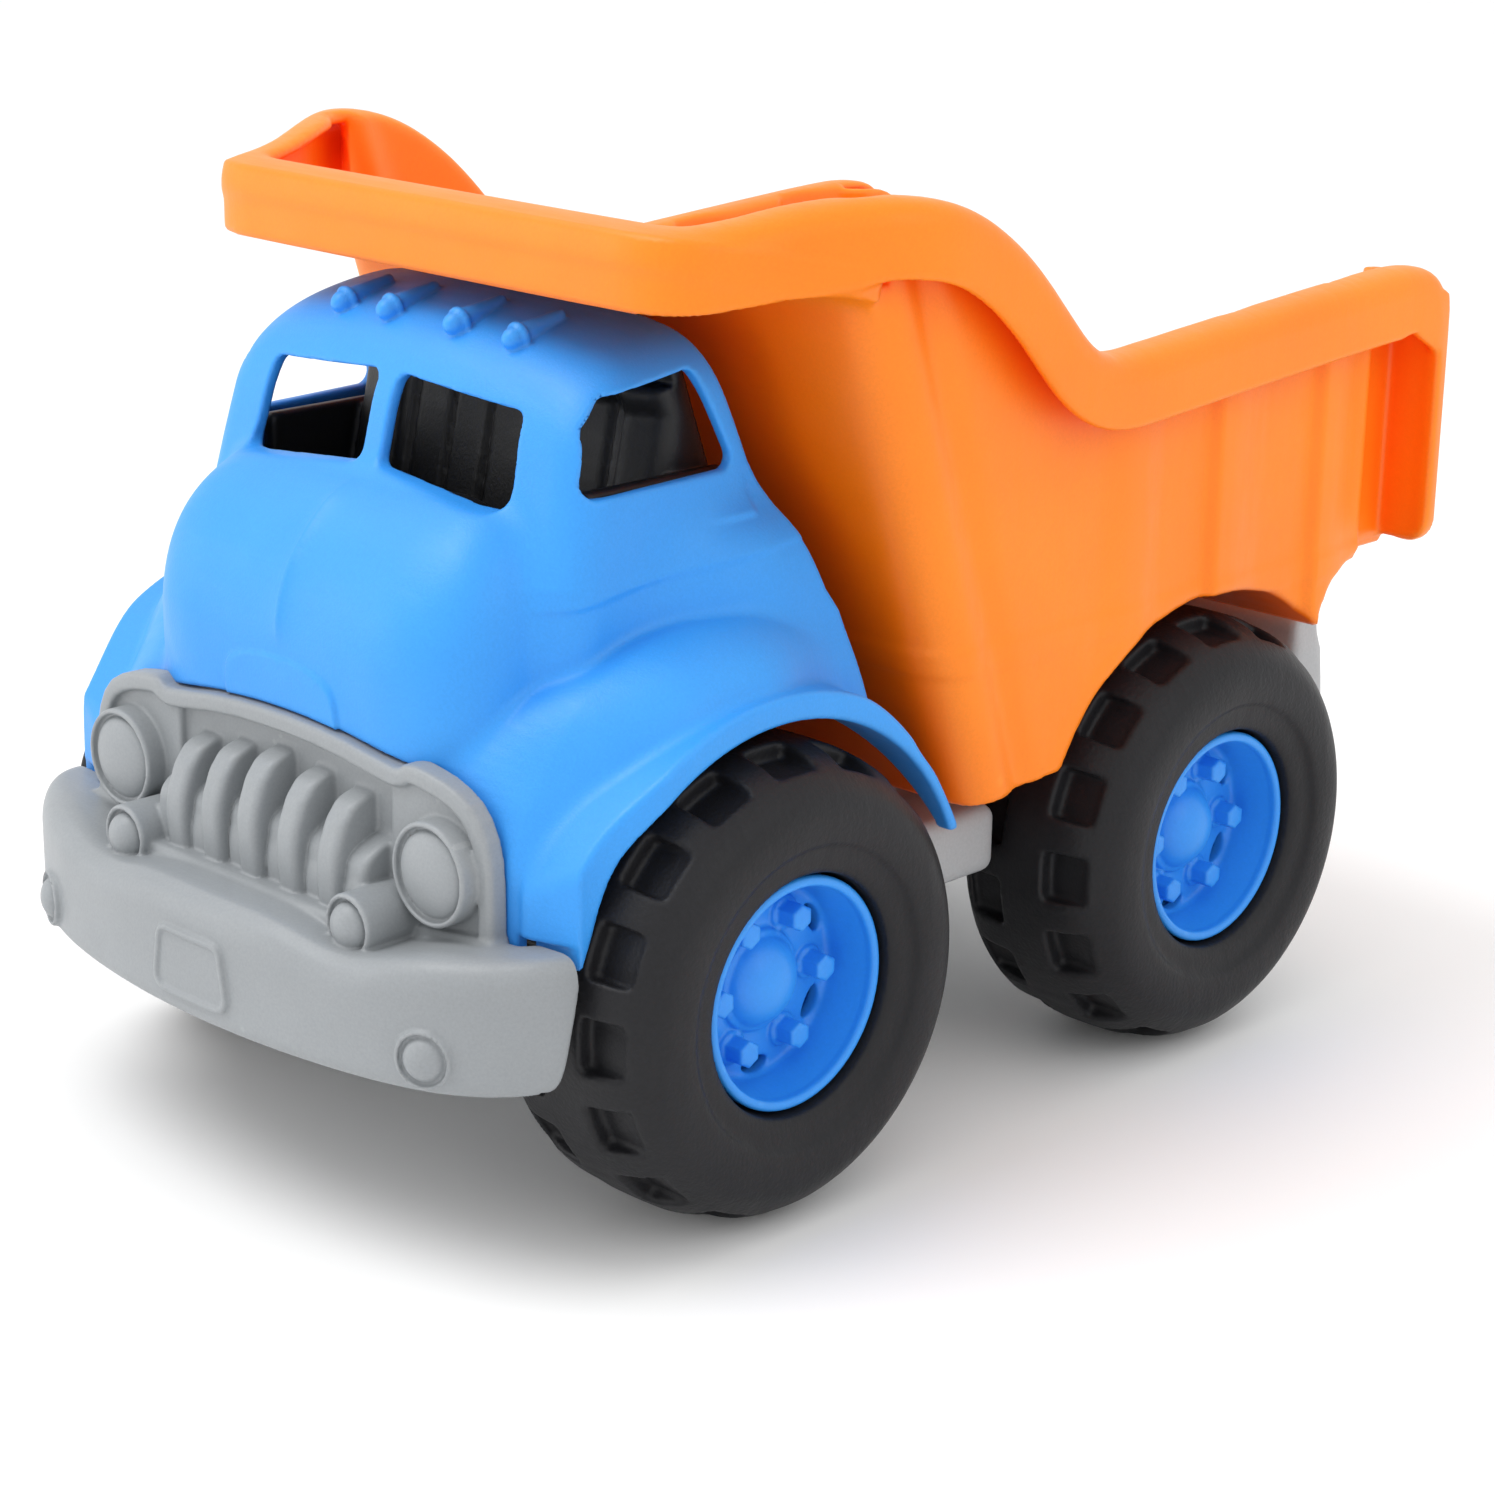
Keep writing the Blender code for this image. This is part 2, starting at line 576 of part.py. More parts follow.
def dump_bed(mat):
    bed = rim("dump_bed")
    add(bed, side_wall("wall_left", -1), side_wall("wall_right", 1))
    front = [(-47.6, 173.0), (-44.6, 173.0), (-10.5, 68.0), (-10.5, 66.8), (-13.0, 66.8), (-14.0, 71.0)]
    add(bed, prism_x("front_wall", front, -BED_WALL_X + 1.0, BED_WALL_X - 1.0))
    floor_x = BED_WALL_X - 1.2
    floor_low = (-floor_x, -21.5, BED_FLOOR_Z - 3.0)
    add(bed, box("floor", floor_low, (floor_x, BED_REAR_Y - 1.4, BED_FLOOR_Z)))
    add(bed, canopy("canopy"))
    for side in (-1, 1):
        knuckle = [(105.5, 96.0), (106.5, 82.0), (109.5, 79.0), (114.5, 79.0), (117.5, 82.0), (118.5, 96.0)]
        add(bed, prism_x("knuckle_%d" % side, knuckle, *sorted((side * 18.0, side * 23.5))))
    cut(bed, rod_x("knuckle_bore", HINGE_Y, HINGE_Z, HINGE_PIN_RADIUS + GAP, -30.0, 30.0, 16))
    origin_to(bed, 0.0, HINGE_Y, HINGE_Z)
    return finish(bed, mat)


def bed_hinge_pin(mat):
    pin = rod_x("bed_hinge_pin", HINGE_Y, HINGE_Z, HINGE_PIN_RADIUS, -31.0, 31.0, 16, helper=False)
    for side in (-1, 1):
        low, high = sorted((side * (29.0 + GAP), side * 31.0))
        add(pin, rod_x("pin_head_%d" % side, HINGE_Y, HINGE_Z, 4.2, low, high, 16))
    origin_to(pin, 0.0, HINGE_Y, HINGE_Z)
    return finish(pin, mat)


# ---------------------------------------------------------------- wheels

TYRE_PROFILE = (
    (TYRE_INNER_X + 1.5, TYRE_BORE), (TYRE_INNER_X, 26.0), (TYRE_INNER_X, 38.5),
    (TYRE_INNER_X + 3.0, 42.4), (TYRE_INNER_X + 10.0, TYRE_RADIUS), (TYRE_OUTER_X - 14.0, TYRE_RADIUS),
    (TYRE_OUTER_X - 4.5, 42.4), (TYRE_OUTER_X, 38.2),
    (TYRE_OUTER_X - 0.4, 29.0), (TYRE_OUTER_X - 2.8, TYRE_BORE),
    # The hollow inside, open towards the hub that closes it.
    (TYRE_OUTER_X - 9.0, TYRE_BORE), (TYRE_OUTER_X - 9.0, 26.0), (TYRE_OUTER_X - 3.4, 29.5),
    (TYRE_OUTER_X - 3.2, 37.0), (TYRE_OUTER_X - 7.0, 39.8), (TYRE_OUTER_X - 16.0, 41.4),
    (TYRE_INNER_X + 12.0, 41.4), (TYRE_INNER_X + 5.0, 39.6), (TYRE_INNER_X + 3.0, 37.2),
    (TYRE_INNER_X + 3.0, 27.5), (TYRE_INNER_X + 7.0, 25.6), (TYRE_INNER_X + 7.0, TYRE_BORE),
)


def tread_pockets(name):
    """Square pockets cut round both shoulders."""
    bm = bmesh.new()
    for i in range(TREAD_POCKETS):
        turn = 2 * math.pi * (i + 0.5) / TREAD_POCKETS
        for x in (TYRE_INNER_X + 3.0, TYRE_OUTER_X - 11.0):
            place = Matrix.Rotation(turn, 4, "X") @ Matrix.Translation((x, 0.0, 46.0))
            size = Matrix.Diagonal((9.5, 8.0, 6.0, 1.0))
            bmesh.ops.create_cube(bm, size=1.0, matrix=place @ size)
    return from_bmesh(name, bm)


def place_wheel_part(obj, side, axle_y):
    obj.rotation_euler = (0.0, 0.0, 0.0 if side > 0 else math.pi)
    obj.location = (0.0, (axle_y + DATUM_Y) * MM, TYRE_RADIUS * MM)


def tyre(name, side, axle_y, mat):
    obj = turned(name, TYRE_PROFILE, WHEEL_STEPS)
    pockets = tread_pockets(name + "_pockets")
    place_wheel_part(obj, side, axle_y)
    place_wheel_part(pockets, side, axle_y)
    cut(obj, pockets)
    return finish(obj, mat)


def rods_round(name, shift, place, radius, length, sides, flat=Matrix.Identity(4)):
    """Six short rods along X, evenly round the axle, the first of them turned by a share of the step."""
    bm = bmesh.new()
    for i in range(6):
        turn = Matrix.Rotation(math.pi / 3 * (i + shift), 4, "X")
        where = turn @ Matrix.Translation(place) @ flat @ Matrix.Rotation(math.pi / 2, 4, "Y")
        bmesh.ops.create_cone(
            bm, cap_ends=True, segments=sides, radius1=radius, radius2=radius, depth=length, matrix=where
        )
    return from_bmesh(name, bm)


def hub(name, side, axle_y, mat):
    """Dished outer half of the wheel with a dome, six lug nuts and six vents."""
    disc = HUB_DISC_X
    profile = (
        (62.0, AXLE_RADIUS + GAP), (70.5, AXLE_RADIUS + GAP), (71.0, 0.8),
        (disc + 7.6, 0.8), (disc + 6.6, 4.6), (disc + 3.6, 7.8), (disc, 9.0),
        (disc, 18.4), (disc + 8.6, 20.8), (HUB_FACE_X, 21.2), (HUB_FACE_X, HUB_RADIUS),
        (54.5, HUB_RADIUS), (54.5, 20.0), (disc - 2.4, 18.0), (disc - 2.4, 6.5), (62.0, 6.5),
    )
    obj = turned(name, profile, 18)
    nuts = rods_round(name + "_nuts", 0.0, (disc + 1.2, 0.0, LUG_CIRCLE), 2.5, 6.0, 6)
    flat = Matrix.Diagonal((1.0, 2.0, 0.8, 1.0))
    vents = rods_round(name + "_vents", 0.5, (disc, 0.0, VENT_CIRCLE), 1.5, 9.0, 8, flat)
    for piece in (obj, nuts, vents):
        place_wheel_part(piece, side, axle_y)
    add(obj, nuts)
    cut(obj, vents)
    return finish(obj, mat)


def wheel_back(name, side, axle_y, mat):
    """Black inner plug that closes the wheel and carries the axle."""
    bore = AXLE_RADIUS + GAP
    profile = (
        (61.5, bore), (61.5, 7.0), (52.0, 8.0), (52.0, 18.0), (54.0, 19.5),
        (54.0, 21.8), (49.5, 21.8), (49.5, 8.5), (44.5, 7.5), (44.5, bore),
    )
    obj = turned(name, profile, 16, flip=True)
    place_wheel_part(obj, side, axle_y)
    return finish(obj, mat)


def axle(name, axle_y, mat):
    reach = AXLE_HALF_LENGTH
    obj = rod_x(name, axle_y, TYRE_RADIUS, AXLE_RADIUS, -reach, reach, 16, helper=False)
    origin_to(obj, 0.0, axle_y, TYRE_RADIUS)
    return finish(obj, mat)


def wheels(tyre_mat, hub_mat, back_mat, axle_mat):
    for end, axle_y in (("front", FRONT_AXLE_Y), ("rear", REAR_AXLE_Y)):
        axle(end + "_axle", axle_y, axle_mat)
        for hand, side in (("left", -1), ("right", 1)):
            label = "%s_%s" % (end, hand)
            tyre("tyre_" + label, side, axle_y, tyre_mat)
            hub("hub_" + label, side, axle_y, hub_mat)
            wheel_back("wheel_back_" + label, side, axle_y, back_mat)


def main():
    clear_scene()
    blue = material("blue_plastic", BLUE, 0.42)
    grey = material("grey_plastic", GREY, 0.42)
    orange = material("orange_plastic", ORANGE, 0.40)
    black = material("black_plastic", BLACK, 0.50)
    cab_shell(blue)
    grille_bumper(grey)
    cab_interior(black)
    chassis(material("chassis_plastic", GREY, 0.45))
    dump_bed(orange)
    pin_grey = material("pin_plastic", PIN_GREY, 0.45)
    bed_hinge_pin(pin_grey)
    wheels(
        material("tyre_plastic", TYRE_BLACK, 0.60),
        material("hub_plastic", BLUE, 0.40),
        material("wheel_back_plastic", BLACK, 0.55),
        material("axle_plastic", PIN_GREY, 0.45),
    )


main()
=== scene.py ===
"""Toy dump truck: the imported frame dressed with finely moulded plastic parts, in a white studio."""
import math

import bpy
import numpy as np
from mathutils import Matrix, Vector


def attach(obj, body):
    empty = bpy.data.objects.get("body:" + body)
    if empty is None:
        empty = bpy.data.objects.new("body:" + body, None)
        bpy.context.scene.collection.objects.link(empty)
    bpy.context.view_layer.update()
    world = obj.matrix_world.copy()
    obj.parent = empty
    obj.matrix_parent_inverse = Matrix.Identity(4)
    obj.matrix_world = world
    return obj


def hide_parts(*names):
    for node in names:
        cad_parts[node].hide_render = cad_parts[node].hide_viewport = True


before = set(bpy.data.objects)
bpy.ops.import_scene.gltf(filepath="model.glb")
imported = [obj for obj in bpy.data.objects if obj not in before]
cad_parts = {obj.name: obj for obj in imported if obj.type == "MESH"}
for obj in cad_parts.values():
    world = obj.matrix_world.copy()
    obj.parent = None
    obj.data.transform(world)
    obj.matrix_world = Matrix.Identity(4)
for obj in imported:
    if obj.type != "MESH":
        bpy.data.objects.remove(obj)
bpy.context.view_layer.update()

MM = 0.001
# Shapes below are drawn in millimetres from a line this far ahead of the frame's origin.
DATUM_Y = 4.4
FRONT_AXLE_Y, REAR_AXLE_Y, AXLE_Z = -65.0, 61.5, 45.5

# ---------------------------------------------------------------- distance functions

# Below this an edge has no length.
TINY = 1e-12


def smin(a, b, k):
    """Union of two distances with a fillet of about k."""
    h = np.clip(0.5 + 0.5 * (b - a) / k, 0.0, 1.0)
    return b + (a - b) * h - k * h * (1.0 - h)


def smax(a, b, k):
    """Intersection of two distances with a rounding of about k."""
    return -smin(-a, -b, k)


def carve(a, b, k):
    """What is left of a once b is taken away, with a rounding of about k."""
    return smax(a, -b, k)


def spline(at, knots):
    """Smooth curve through (position, value) knots, held level past its ends."""
    xs, ys = np.array(knots, float).T
    slopes = np.gradient(ys, xs)
    i = np.clip(np.searchsorted(xs, at) - 1, 0, len(xs) - 2)
    span = xs[i + 1] - xs[i]
    t = np.clip((at - xs[i]) / span, 0.0, 1.0)
    t2, t3 = t * t, t * t * t
    return ((2 * t3 - 3 * t2 + 1) * ys[i] + (t3 - 2 * t2 + t) * span * slopes[i]
            + (3 * t2 - 2 * t3) * ys[i + 1] + (t3 - t2) * span * slopes[i + 1])


def step_up(at, low, high):
    """0 before low, 1 after high, smooth between."""
    t = np.clip((at - low) / (high - low), 0.0, 1.0)
    return t * t * (3.0 - 2.0 * t)


def bump_at(at, centre, width):
    """1 at the centre, falling smoothly to 0 on both sides."""
    return np.exp(-((at - centre) / width) ** 2)


def soften(points, times):
    """Cuts the corners of a closed outline, so that it turns smoothly."""
    for _ in range(times):
        after = points[1:] + points[:1]
        points = [
            (a[0] * (1 - t) + b[0] * t, a[1] * (1 - t) + b[1] * t)
            for a, b in zip(points, after) for t in (0.25, 0.75)
        ]
    return points


def outline(points):
    """Signed distance to a closed outline, negative inside."""
    pairs = list(zip(points, points[1:] + points[:1]))

    def distance(u, v):
        nearest, inside = None, None
        for (ax, ay), (bx, by) in pairs:
            ex, ey = bx - ax, by - ay
            length = ex * ex + ey * ey
            if length < TINY:
                continue
            t = np.clip(((u - ax) * ex + (v - ay) * ey) / length, 0.0, 1.0)
            d = (u - ax - t * ex) ** 2 + (v - ay - t * ey) ** 2
            nearest = d if nearest is None else np.minimum(nearest, d)
            rise = ey if abs(ey) > TINY else TINY
            crosses = ((ay > v) != (by > v)) & (u < (v - ay) * ex / rise + ax)
            inside = crosses if inside is None else inside ^ crosses
        return np.where(inside, -1.0, 1.0) * np.sqrt(nearest)
    return distance


def rounded(corners, radius):
    """Signed distance to a convex outline with its corners rounded, listed clockwise or not."""
    after = corners[1:] + corners[:1]
    area = sum(a[0] * b[1] - b[0] * a[1] for a, b in zip(corners, after))
    turn = 1.0 if area > 0 else -1.0
    edges = []
    for a, b in zip(corners, after):
        length = math.hypot(b[0] - a[0], b[1] - a[1])
        nx, ny = -turn * (b[1] - a[1]) / length, turn * (b[0] - a[0]) / length
        edges.append((nx, ny, nx * a[0] + ny * a[1] + radius))
    inner = []
    for (ax, ay, aw), (bx, by, bw) in zip(edges[-1:] + edges[:-1], edges):
        cross = ax * by - ay * bx
        inner.append(((aw * by - ay * bw) / cross, (ax * bw - aw * bx) / cross))
    distance = outline(inner)
    return lambda u, v: distance(u, v) - radius


def block(x, y, z, centre, half, r):
    """Box with rounded edges."""
    qx = np.abs(x - centre[0]) - half[0] + r
    qy = np.abs(y - centre[1]) - half[1] + r
    qz = np.abs(z - centre[2]) - half[2] + r
    outside = np.sqrt(np.maximum(qx, 0) ** 2 + np.maximum(qy, 0) ** 2 + np.maximum(qz, 0) ** 2)
    return outside + np.minimum(np.maximum(np.maximum(qx, qy), qz), 0.0) - r


def disc(u, v, w, radius, low, high, r):
    """Cylinder along w between low and high, with rounded rims."""
    qa = np.sqrt(u * u + v * v) - radius + r
    qb = np.abs(w - (low + high) / 2) - (high - low) / 2 + r
    outside = np.sqrt(np.maximum(qa, 0) ** 2 + np.maximum(qb, 0) ** 2)
    return outside + np.minimum(np.maximum(qa, qb), 0.0) - r


def ring(u, v, w, radius, at, r):
    """Round bar of radius r bent into a circle round w."""
    return np.sqrt((np.sqrt(u * u + v * v) - radius) ** 2 + (w - at) ** 2) - r


def egg(x, y, z, centre, radii):
    """Ellipsoid."""
    qx, qy, qz = ((v - c) / r for v, c, r in zip((x, y, z), centre, radii))
    return (np.sqrt(qx ** 2 + qy ** 2 + qz ** 2) - 1.0) * min(radii)


# ---------------------------------------------------------------- meshing

CORNERS = [(i, j, k) for i in (0, 1) for j in (0, 1) for k in (0, 1)]
CELL_EDGES = [(a, b) for a in range(8) for b in range(a + 1, 8)
              if sum(p != q for p, q in zip(CORNERS[a], CORNERS[b])) == 1]
# Each vertex is moved onto the surface this many times. Lengths are in cells.
SETTLINGS = 2
PROBE = 0.12
FARTHEST_MOVE = 0.6
LEAST_SLOPE = 0.2


def net(field, low, step):
    """Quads over the zero level of a grid of distances: one vertex for each cell that it crosses."""
    inside = field < 0
    n = field.shape
    count = np.zeros([s - 1 for s in n], np.int8)
    for i, j, k in CORNERS:
        count += inside[i:n[0] - 1 + i, j:n[1] - 1 + j, k:n[2] - 1 + k]
    cells = np.argwhere((count > 0) & (count < 8))
    number = np.full(count.shape, -1, np.int64)
    number[tuple(cells.T)] = np.arange(len(cells))
    total, hits = np.zeros((len(cells), 3)), np.zeros(len(cells))
    for a, b in CELL_EDGES:
        ca, cb = np.array(CORNERS[a]), np.array(CORNERS[b])
        va, vb = field[tuple((cells + ca).T)], field[tuple((cells + cb).T)]
        cut = (va < 0) != (vb < 0)
        t = np.where(cut, va / np.where(cut, va - vb, 1.0), 0.0)
        total += np.where(cut[:, None], ca + (cb - ca) * t[:, None], 0.0)
        hits += cut
    points = (cells + total / hits[:, None]) * step + low
    quads = []
    for axis in range(3):
        b, c = (axis + 1) % 3, (axis + 2) % 3
        before, after = [slice(1, -1)] * 3, [slice(1, -1)] * 3
        before[axis], after[axis] = slice(0, -1), slice(1, None)
        first, second = inside[tuple(before)], inside[tuple(after)]
        at = np.argwhere(first != second)
        forward = first[tuple(at.T)]
        at[:, b] += 1
        at[:, c] += 1
        round_edge = []
        for db, dc in ((-1, -1), (0, -1), (0, 0), (-1, 0)):
            cell = at.copy()
            cell[:, b] += db
            cell[:, c] += dc
            round_edge.append(number[tuple(cell.T)])
        quad = np.stack(round_edge, 1)
        quad[~forward] = quad[~forward][:, ::-1]
        quads.append(quad)
    return points, np.concatenate(quads)


def gradient(shape, points, mirrored, h):
    """Distance and its slope at each point."""
    x, y, z = points[:, 0], points[:, 1], points[:, 2]
    fold = np.abs if mirrored else (lambda v: v)
    value = shape(fold(x), y, z)
    slope = np.stack([
        shape(fold(x + h), y, z) - shape(fold(x - h), y, z),
        shape(fold(x), y + h, z) - shape(fold(x), y - h, z),
        shape(fold(x), y, z + h) - shape(fold(x), y, z - h),
    ], 1) / (2 * h)
    return value, slope


def sculpt(name, shape, low, high, step, mirrored):
    """Mesh object of shape(x, y, z) < 0 inside the box from low to high, in millimetres."""
    axes = [np.arange(low[axis], high[axis] + step, step) for axis in range(3)]
    if mirrored:
        axes[0] = np.arange(step / 2, high[0] + step, step)
    gx, gy, gz = axes[0][:, None, None], axes[1][None, :, None], axes[2][None, None, :]
    field = np.broadcast_to(shape(gx, gy, gz), [len(a) for a in axes]).astype(np.float32)
    start = np.array([axes[0][0], axes[1][0], axes[2][0]])
    if mirrored:
        field = np.concatenate([field[::-1], field])
        start[0] = -axes[0][-1]
    points, quads = net(field, start, step)
    for _ in range(SETTLINGS):
        value, slope = gradient(shape, points, mirrored, PROBE * step)
        move = slope * (value / np.maximum((slope ** 2).sum(1), LEAST_SLOPE))[:, None]
        size = np.sqrt((move ** 2).sum(1))
        points -= move * np.minimum(1.0, FARTHEST_MOVE * step / np.maximum(size, 1e-9))[:, None]
    points[:, 1] += DATUM_Y
    mesh = bpy.data.meshes.new(name)
    mesh.vertices.add(len(points))
    mesh.vertices.foreach_set("co", (points * MM).astype(np.float32).ravel())
    mesh.loops.add(quads.size)
    mesh.loops.foreach_set("vertex_index", quads.astype(np.int32).ravel())
    mesh.polygons.add(len(quads))
    mesh.polygons.foreach_set("loop_start", np.arange(0, quads.size, 4, dtype=np.int32))
    mesh.update(calc_edges=True)
    mesh.validate()
    mesh.shade_smooth()
    obj = bpy.data.objects.new(name, mesh)
    bpy.context.scene.collection.objects.link(obj)
    return obj


# ---------------------------------------------------------------- cab

CAB_WALL = 2.6
ARCH_RADIUS = 50.2
FENDER_LIP = 55.4
GRILLE_HALF = 58.6
# Outlines in side view, as (Y, height).
CAB_REAR = outline([
    (-61.0, 178.0), (-59.0, 170.0), (-57.0, 163.0), (-48.4, 137.5), (-44.8, 130.5), (-39.0, 113.5),
    (-36.2, 109.0), (-30.3, 88.5), (-24.3, 77.0), (-18.2, 66.5), (-16.8, 62.0), (-16.8, 30.0),
    (60.0, 30.0), (60.0, 178.0),
])
FENDER_SIDE = outline(soften([
    (-113.6, 30.0), (-113.6, 82.0), (-111.5, 91.0), (-104.0, 99.0), (-92.0, 105.0), (-78.0, 110.5),
    (-58.0, 113.5), (-36.0, 114.0), (-18.0, 100.0), (2.0, 72.0), (2.0, 30.0),
], 2))
HOOD = outline(soften([
    (-113.4, 40.0), (-115.4, 88.0), (-116.8, 101.0), (-116.4, 108.5), (-113.9, 116.4), (-109.6, 122.6),
    (-104.6, 126.6), (-99.0, 129.0), (-91.0, 131.2), (-80.0, 132.6), (-10.0, 132.6), (-10.0, 40.0),
], 2))
# Lines pressed into the cab's side, as (Y, height).
FLANK_LINE = ((-106, 114.2), (-82, 118.0), (-64, 120.6), (-45, 123.0), (-34, 123.4))
SILL_LINE = ((-64, 127.8), (-60, 128.0), (-50, 128.4), (-40, 128.4))
# Outlines in front view, as (distance from the middle, height); the side window is in side view.
BADGE = outline(soften([
    (-16.2, 84.0), (-16.4, 95.5), (-15.0, 99.5), (-9.0, 101.6), (0.0, 102.2), (9.0, 101.6),
    (15.0, 99.5), (16.4, 95.5), (16.2, 84.0),
], 2))
WINDSCREEN = rounded([(2.7, 151.4), (35.2, 149.0), (37.0, 131.8), (2.7, 134.8)], 2.2)
SIDE_WINDOW = rounded([(-80.6, 152.2), (-59.4, 155.2), (-51.6, 136.4), (-88.6, 135.4), (-85.4, 147.4)], 2.4)
# Distance from the middle, then Y and height of each roof light's nose.
ROOF_LIGHTS = ((9.5, -82.0, 160.6), (24.3, -80.8, 159.8))


def nose(x, y, z, inset):
    """Bulging hood between the fenders."""
    half = spline(z, ((60, 45.0), (95, 43.8), (110, 43.5), (122, 43.0), (132, 42.0)))
    return smax(HOOD(y, z) + inset, np.abs(x) - half + inset, 20.0)


def flank(x, y, z, inset):
    """Body side from the nose back to the rear edge, with its shoulder under the windows."""
    half = spline(z, ((50, 66.0), (85, 66.5), (100, 66.0), (112, 64.5), (122, 61.5), (130, 57.5),
                      (137, 52.0)))
    half = half - 22.0 * step_up(-y, 48.0, 104.0)
    top = spline(y, ((-112, 116.0), (-105, 123.0), (-98, 128.0), (-88, 131.0), (-70, 131.8), (-40, 131.4)))
    side = np.abs(x) - half + inset
    lid = z + inset + 0.30 * np.maximum(np.abs(x) - 50.0, -6.0) - top
    return smax(smax(side, lid, 8.0), -108.0 + inset - y, 16.0)


def greenhouse(x, y, z, inset):
    """Cabin above the shoulder, with its domed roof."""
    half = spline(z, ((120, 53.6), (134, 52.7), (150, 50.4), (162, 47.4), (170, 44.0)))
    front = spline(z, ((120, -98.8), (135, -94.8), (151, -90.4), (162, -86.6), (170, -83.0)))
    front = front + 4.2 * (x / 50.0) ** 2
    roof = 165.3 - 0.0074 * (y + 54.0) ** 2 - 6.0 * (x / 50.0) ** 2
    walls = smax(np.abs(x) - half + inset, front + inset - y, 8.0)
    return smax(walls, (z + inset - roof) * 0.94, 9.0)


def fender_side(ax, y, z):
    """The fender in side view. Its front leans back between the grille and the wheel."""
    return FENDER_SIDE(y - 0.3 * np.maximum(ax - GRILLE_HALF, 0.0), z)


def fender(x, y, z, inset):
    """Full fender over the front wheel, narrower towards the nose and, above the lip, towards the rear."""
    half = 77.0 - 17.0 * step_up(-y, 78.0, 118.0) ** 1.1 * step_up(z, 60.0, 100.0)
    half = half - 3.5 * step_up(-y, 94.0, 108.0)
    half = half - np.clip(0.39 * (z - 66.0), 0.0, 8.5) * step_up(y, -66.0, -38.0)
    side = np.abs(x) - half + inset
    crown = fender_side(np.abs(x), y, z) + inset
    return smax(side, crown, 7.0 + 14.0 * step_up(z, 62.0, 92.0))


def cab_solid(x, y, z, inset=0.0):
    body = smin(nose(x, y, z, inset), flank(x, y, z, inset), 14.0)
    body = smin(body, greenhouse(x, y, z, inset), 4.0)
    return smin(body, fender(x, y, z, inset), 1.8)


def side_line(y, z, knots, depth, fade):
    """Step in the body side: proud just above the line and fading upwards."""
    above = z - spline(y, knots)
    along = step_up(y, knots[0][0], knots[0][0] + 12.0)
    return depth * along * step_up(above, -0.7, 0.7) * np.exp(-np.maximum(above, 0.0) / fade)


def roof_light(x, y, z):
    """Bullet-shaped marker light: domed nose, collar and a tail that tapers back along the roof."""
    lean = math.radians(15.0)
    along = y * math.cos(lean) + z * math.sin(lean)
    up = -y * math.sin(lean) + z * math.cos(lean)
    lens = egg(x, along, up, (0.0, 0.6, 0.0), (2.2, 2.9, 2.2))
    collar = disc(x, up, along, 2.7, 0.6, 2.2, 0.6)
    radius = 2.3 - 0.11 * np.clip(along, 0.0, 14.0)
    tail = smax(np.sqrt(x * x + up * up) - radius, np.abs(along - 7.0) - 6.0, 1.2)
    return np.minimum(np.minimum(lens, collar), tail)


def cab_outside(ax, y, z, radius):
    """Outer surface of the cab: side lines, hood rib, badge, the fenders' rolled lips and the roof lights."""
    outer = cab_solid(ax, y, z)
    sideways = step_up(ax, 36.0, 42.0) * step_up(y, -104.0, -86.0)
    outer = outer - sideways * side_line(y, z, FLANK_LINE, 0.5, 4.0)
    outer = outer - sideways * side_line(y, z, SILL_LINE, 0.8, 3.0) * step_up(-y, 49.0, 51.0)
    rib = 0.75 * np.exp(-ax / 2.2) * step_up(z, 103.0, 110.0)
    outer = outer - rib * step_up(-z, -134.0, -129.0) * step_up(-y, 85.0, 92.0)
    outer = outer - 0.7 * step_up(-BADGE(ax, z), -0.35, 0.35) * step_up(-y, 100.0, 105.0)
    reach = np.maximum(ax - 78.3 + 4.8 * step_up(-y, 92.0, 110.0), fender_side(ax, y, z) - 1.0)
    lip = smax(radius - FENDER_LIP + 2.6 * step_up(y, -45.0, -22.0), reach, 1.2)
    outer = smin(outer, smax(lip, 63.0 + y / 100.0 - ax, 1.0), 1.5)
    for light_x, nose_y, nose_z in ROOF_LIGHTS:
        outer = smin(outer, roof_light(ax - light_x, y - nose_y, z - nose_z), 0.6)
    return outer


def cab_shell(x, y, z):
    """Hollow cab, open behind and below, with the wheel arches, the grille's seat and the windows cut out."""
    ax = np.abs(x)
    radius = np.sqrt((y - FRONT_AXLE_Y - 0.5) ** 2 + (z - AXLE_Z) ** 2)
    shell = carve(cab_outside(ax, y, z, radius), cab_solid(x, y, z, CAB_WALL), 0.6)
    tighter = 3.4 * step_up(-z, -82.0, -62.0) * step_up(-y, 92.0, 104.0)
    shell = carve(shell, radius - ARCH_RADIUS + tighter, 0.8)
    lip_end = 2.2 * step_up(ax, 67.0, 71.0) * step_up(-z, -84.0, -76.0)
    shell = carve(shell, CAB_REAR(y - lip_end, z), 0.8)
    shell = smax(shell, 59.2 - z - 100.0 * step_up(y, -64.0, -60.0), 0.8)
    shell = smax(shell, 64.5 - z - 100.0 * step_up(-y, 60.0, 64.0), 0.8)
    over_bumper = np.maximum(np.maximum(60.5 - ax, y + 110.2), z - 63.3)
    shell = carve(shell, over_bumper, 0.5)
    shell = smax(shell, np.where(ax < 70.0, y + 19.5 - 0.4 * (ax - 66.0), -20.0), 0.3)
    grille_seat = smax(z - 92.4 + 0.0028 * ax ** 2, y + 113.5, 0.5)
    shell = carve(shell, grille_seat, 0.6)
    shell = carve(shell, np.maximum(WINDSCREEN(ax, z), y + 70.0), 0.8)
    return carve(shell, np.maximum(SIDE_WINDOW(y, z), 41.5 - ax), 0.8)


# ---------------------------------------------------------------- grille and bumper

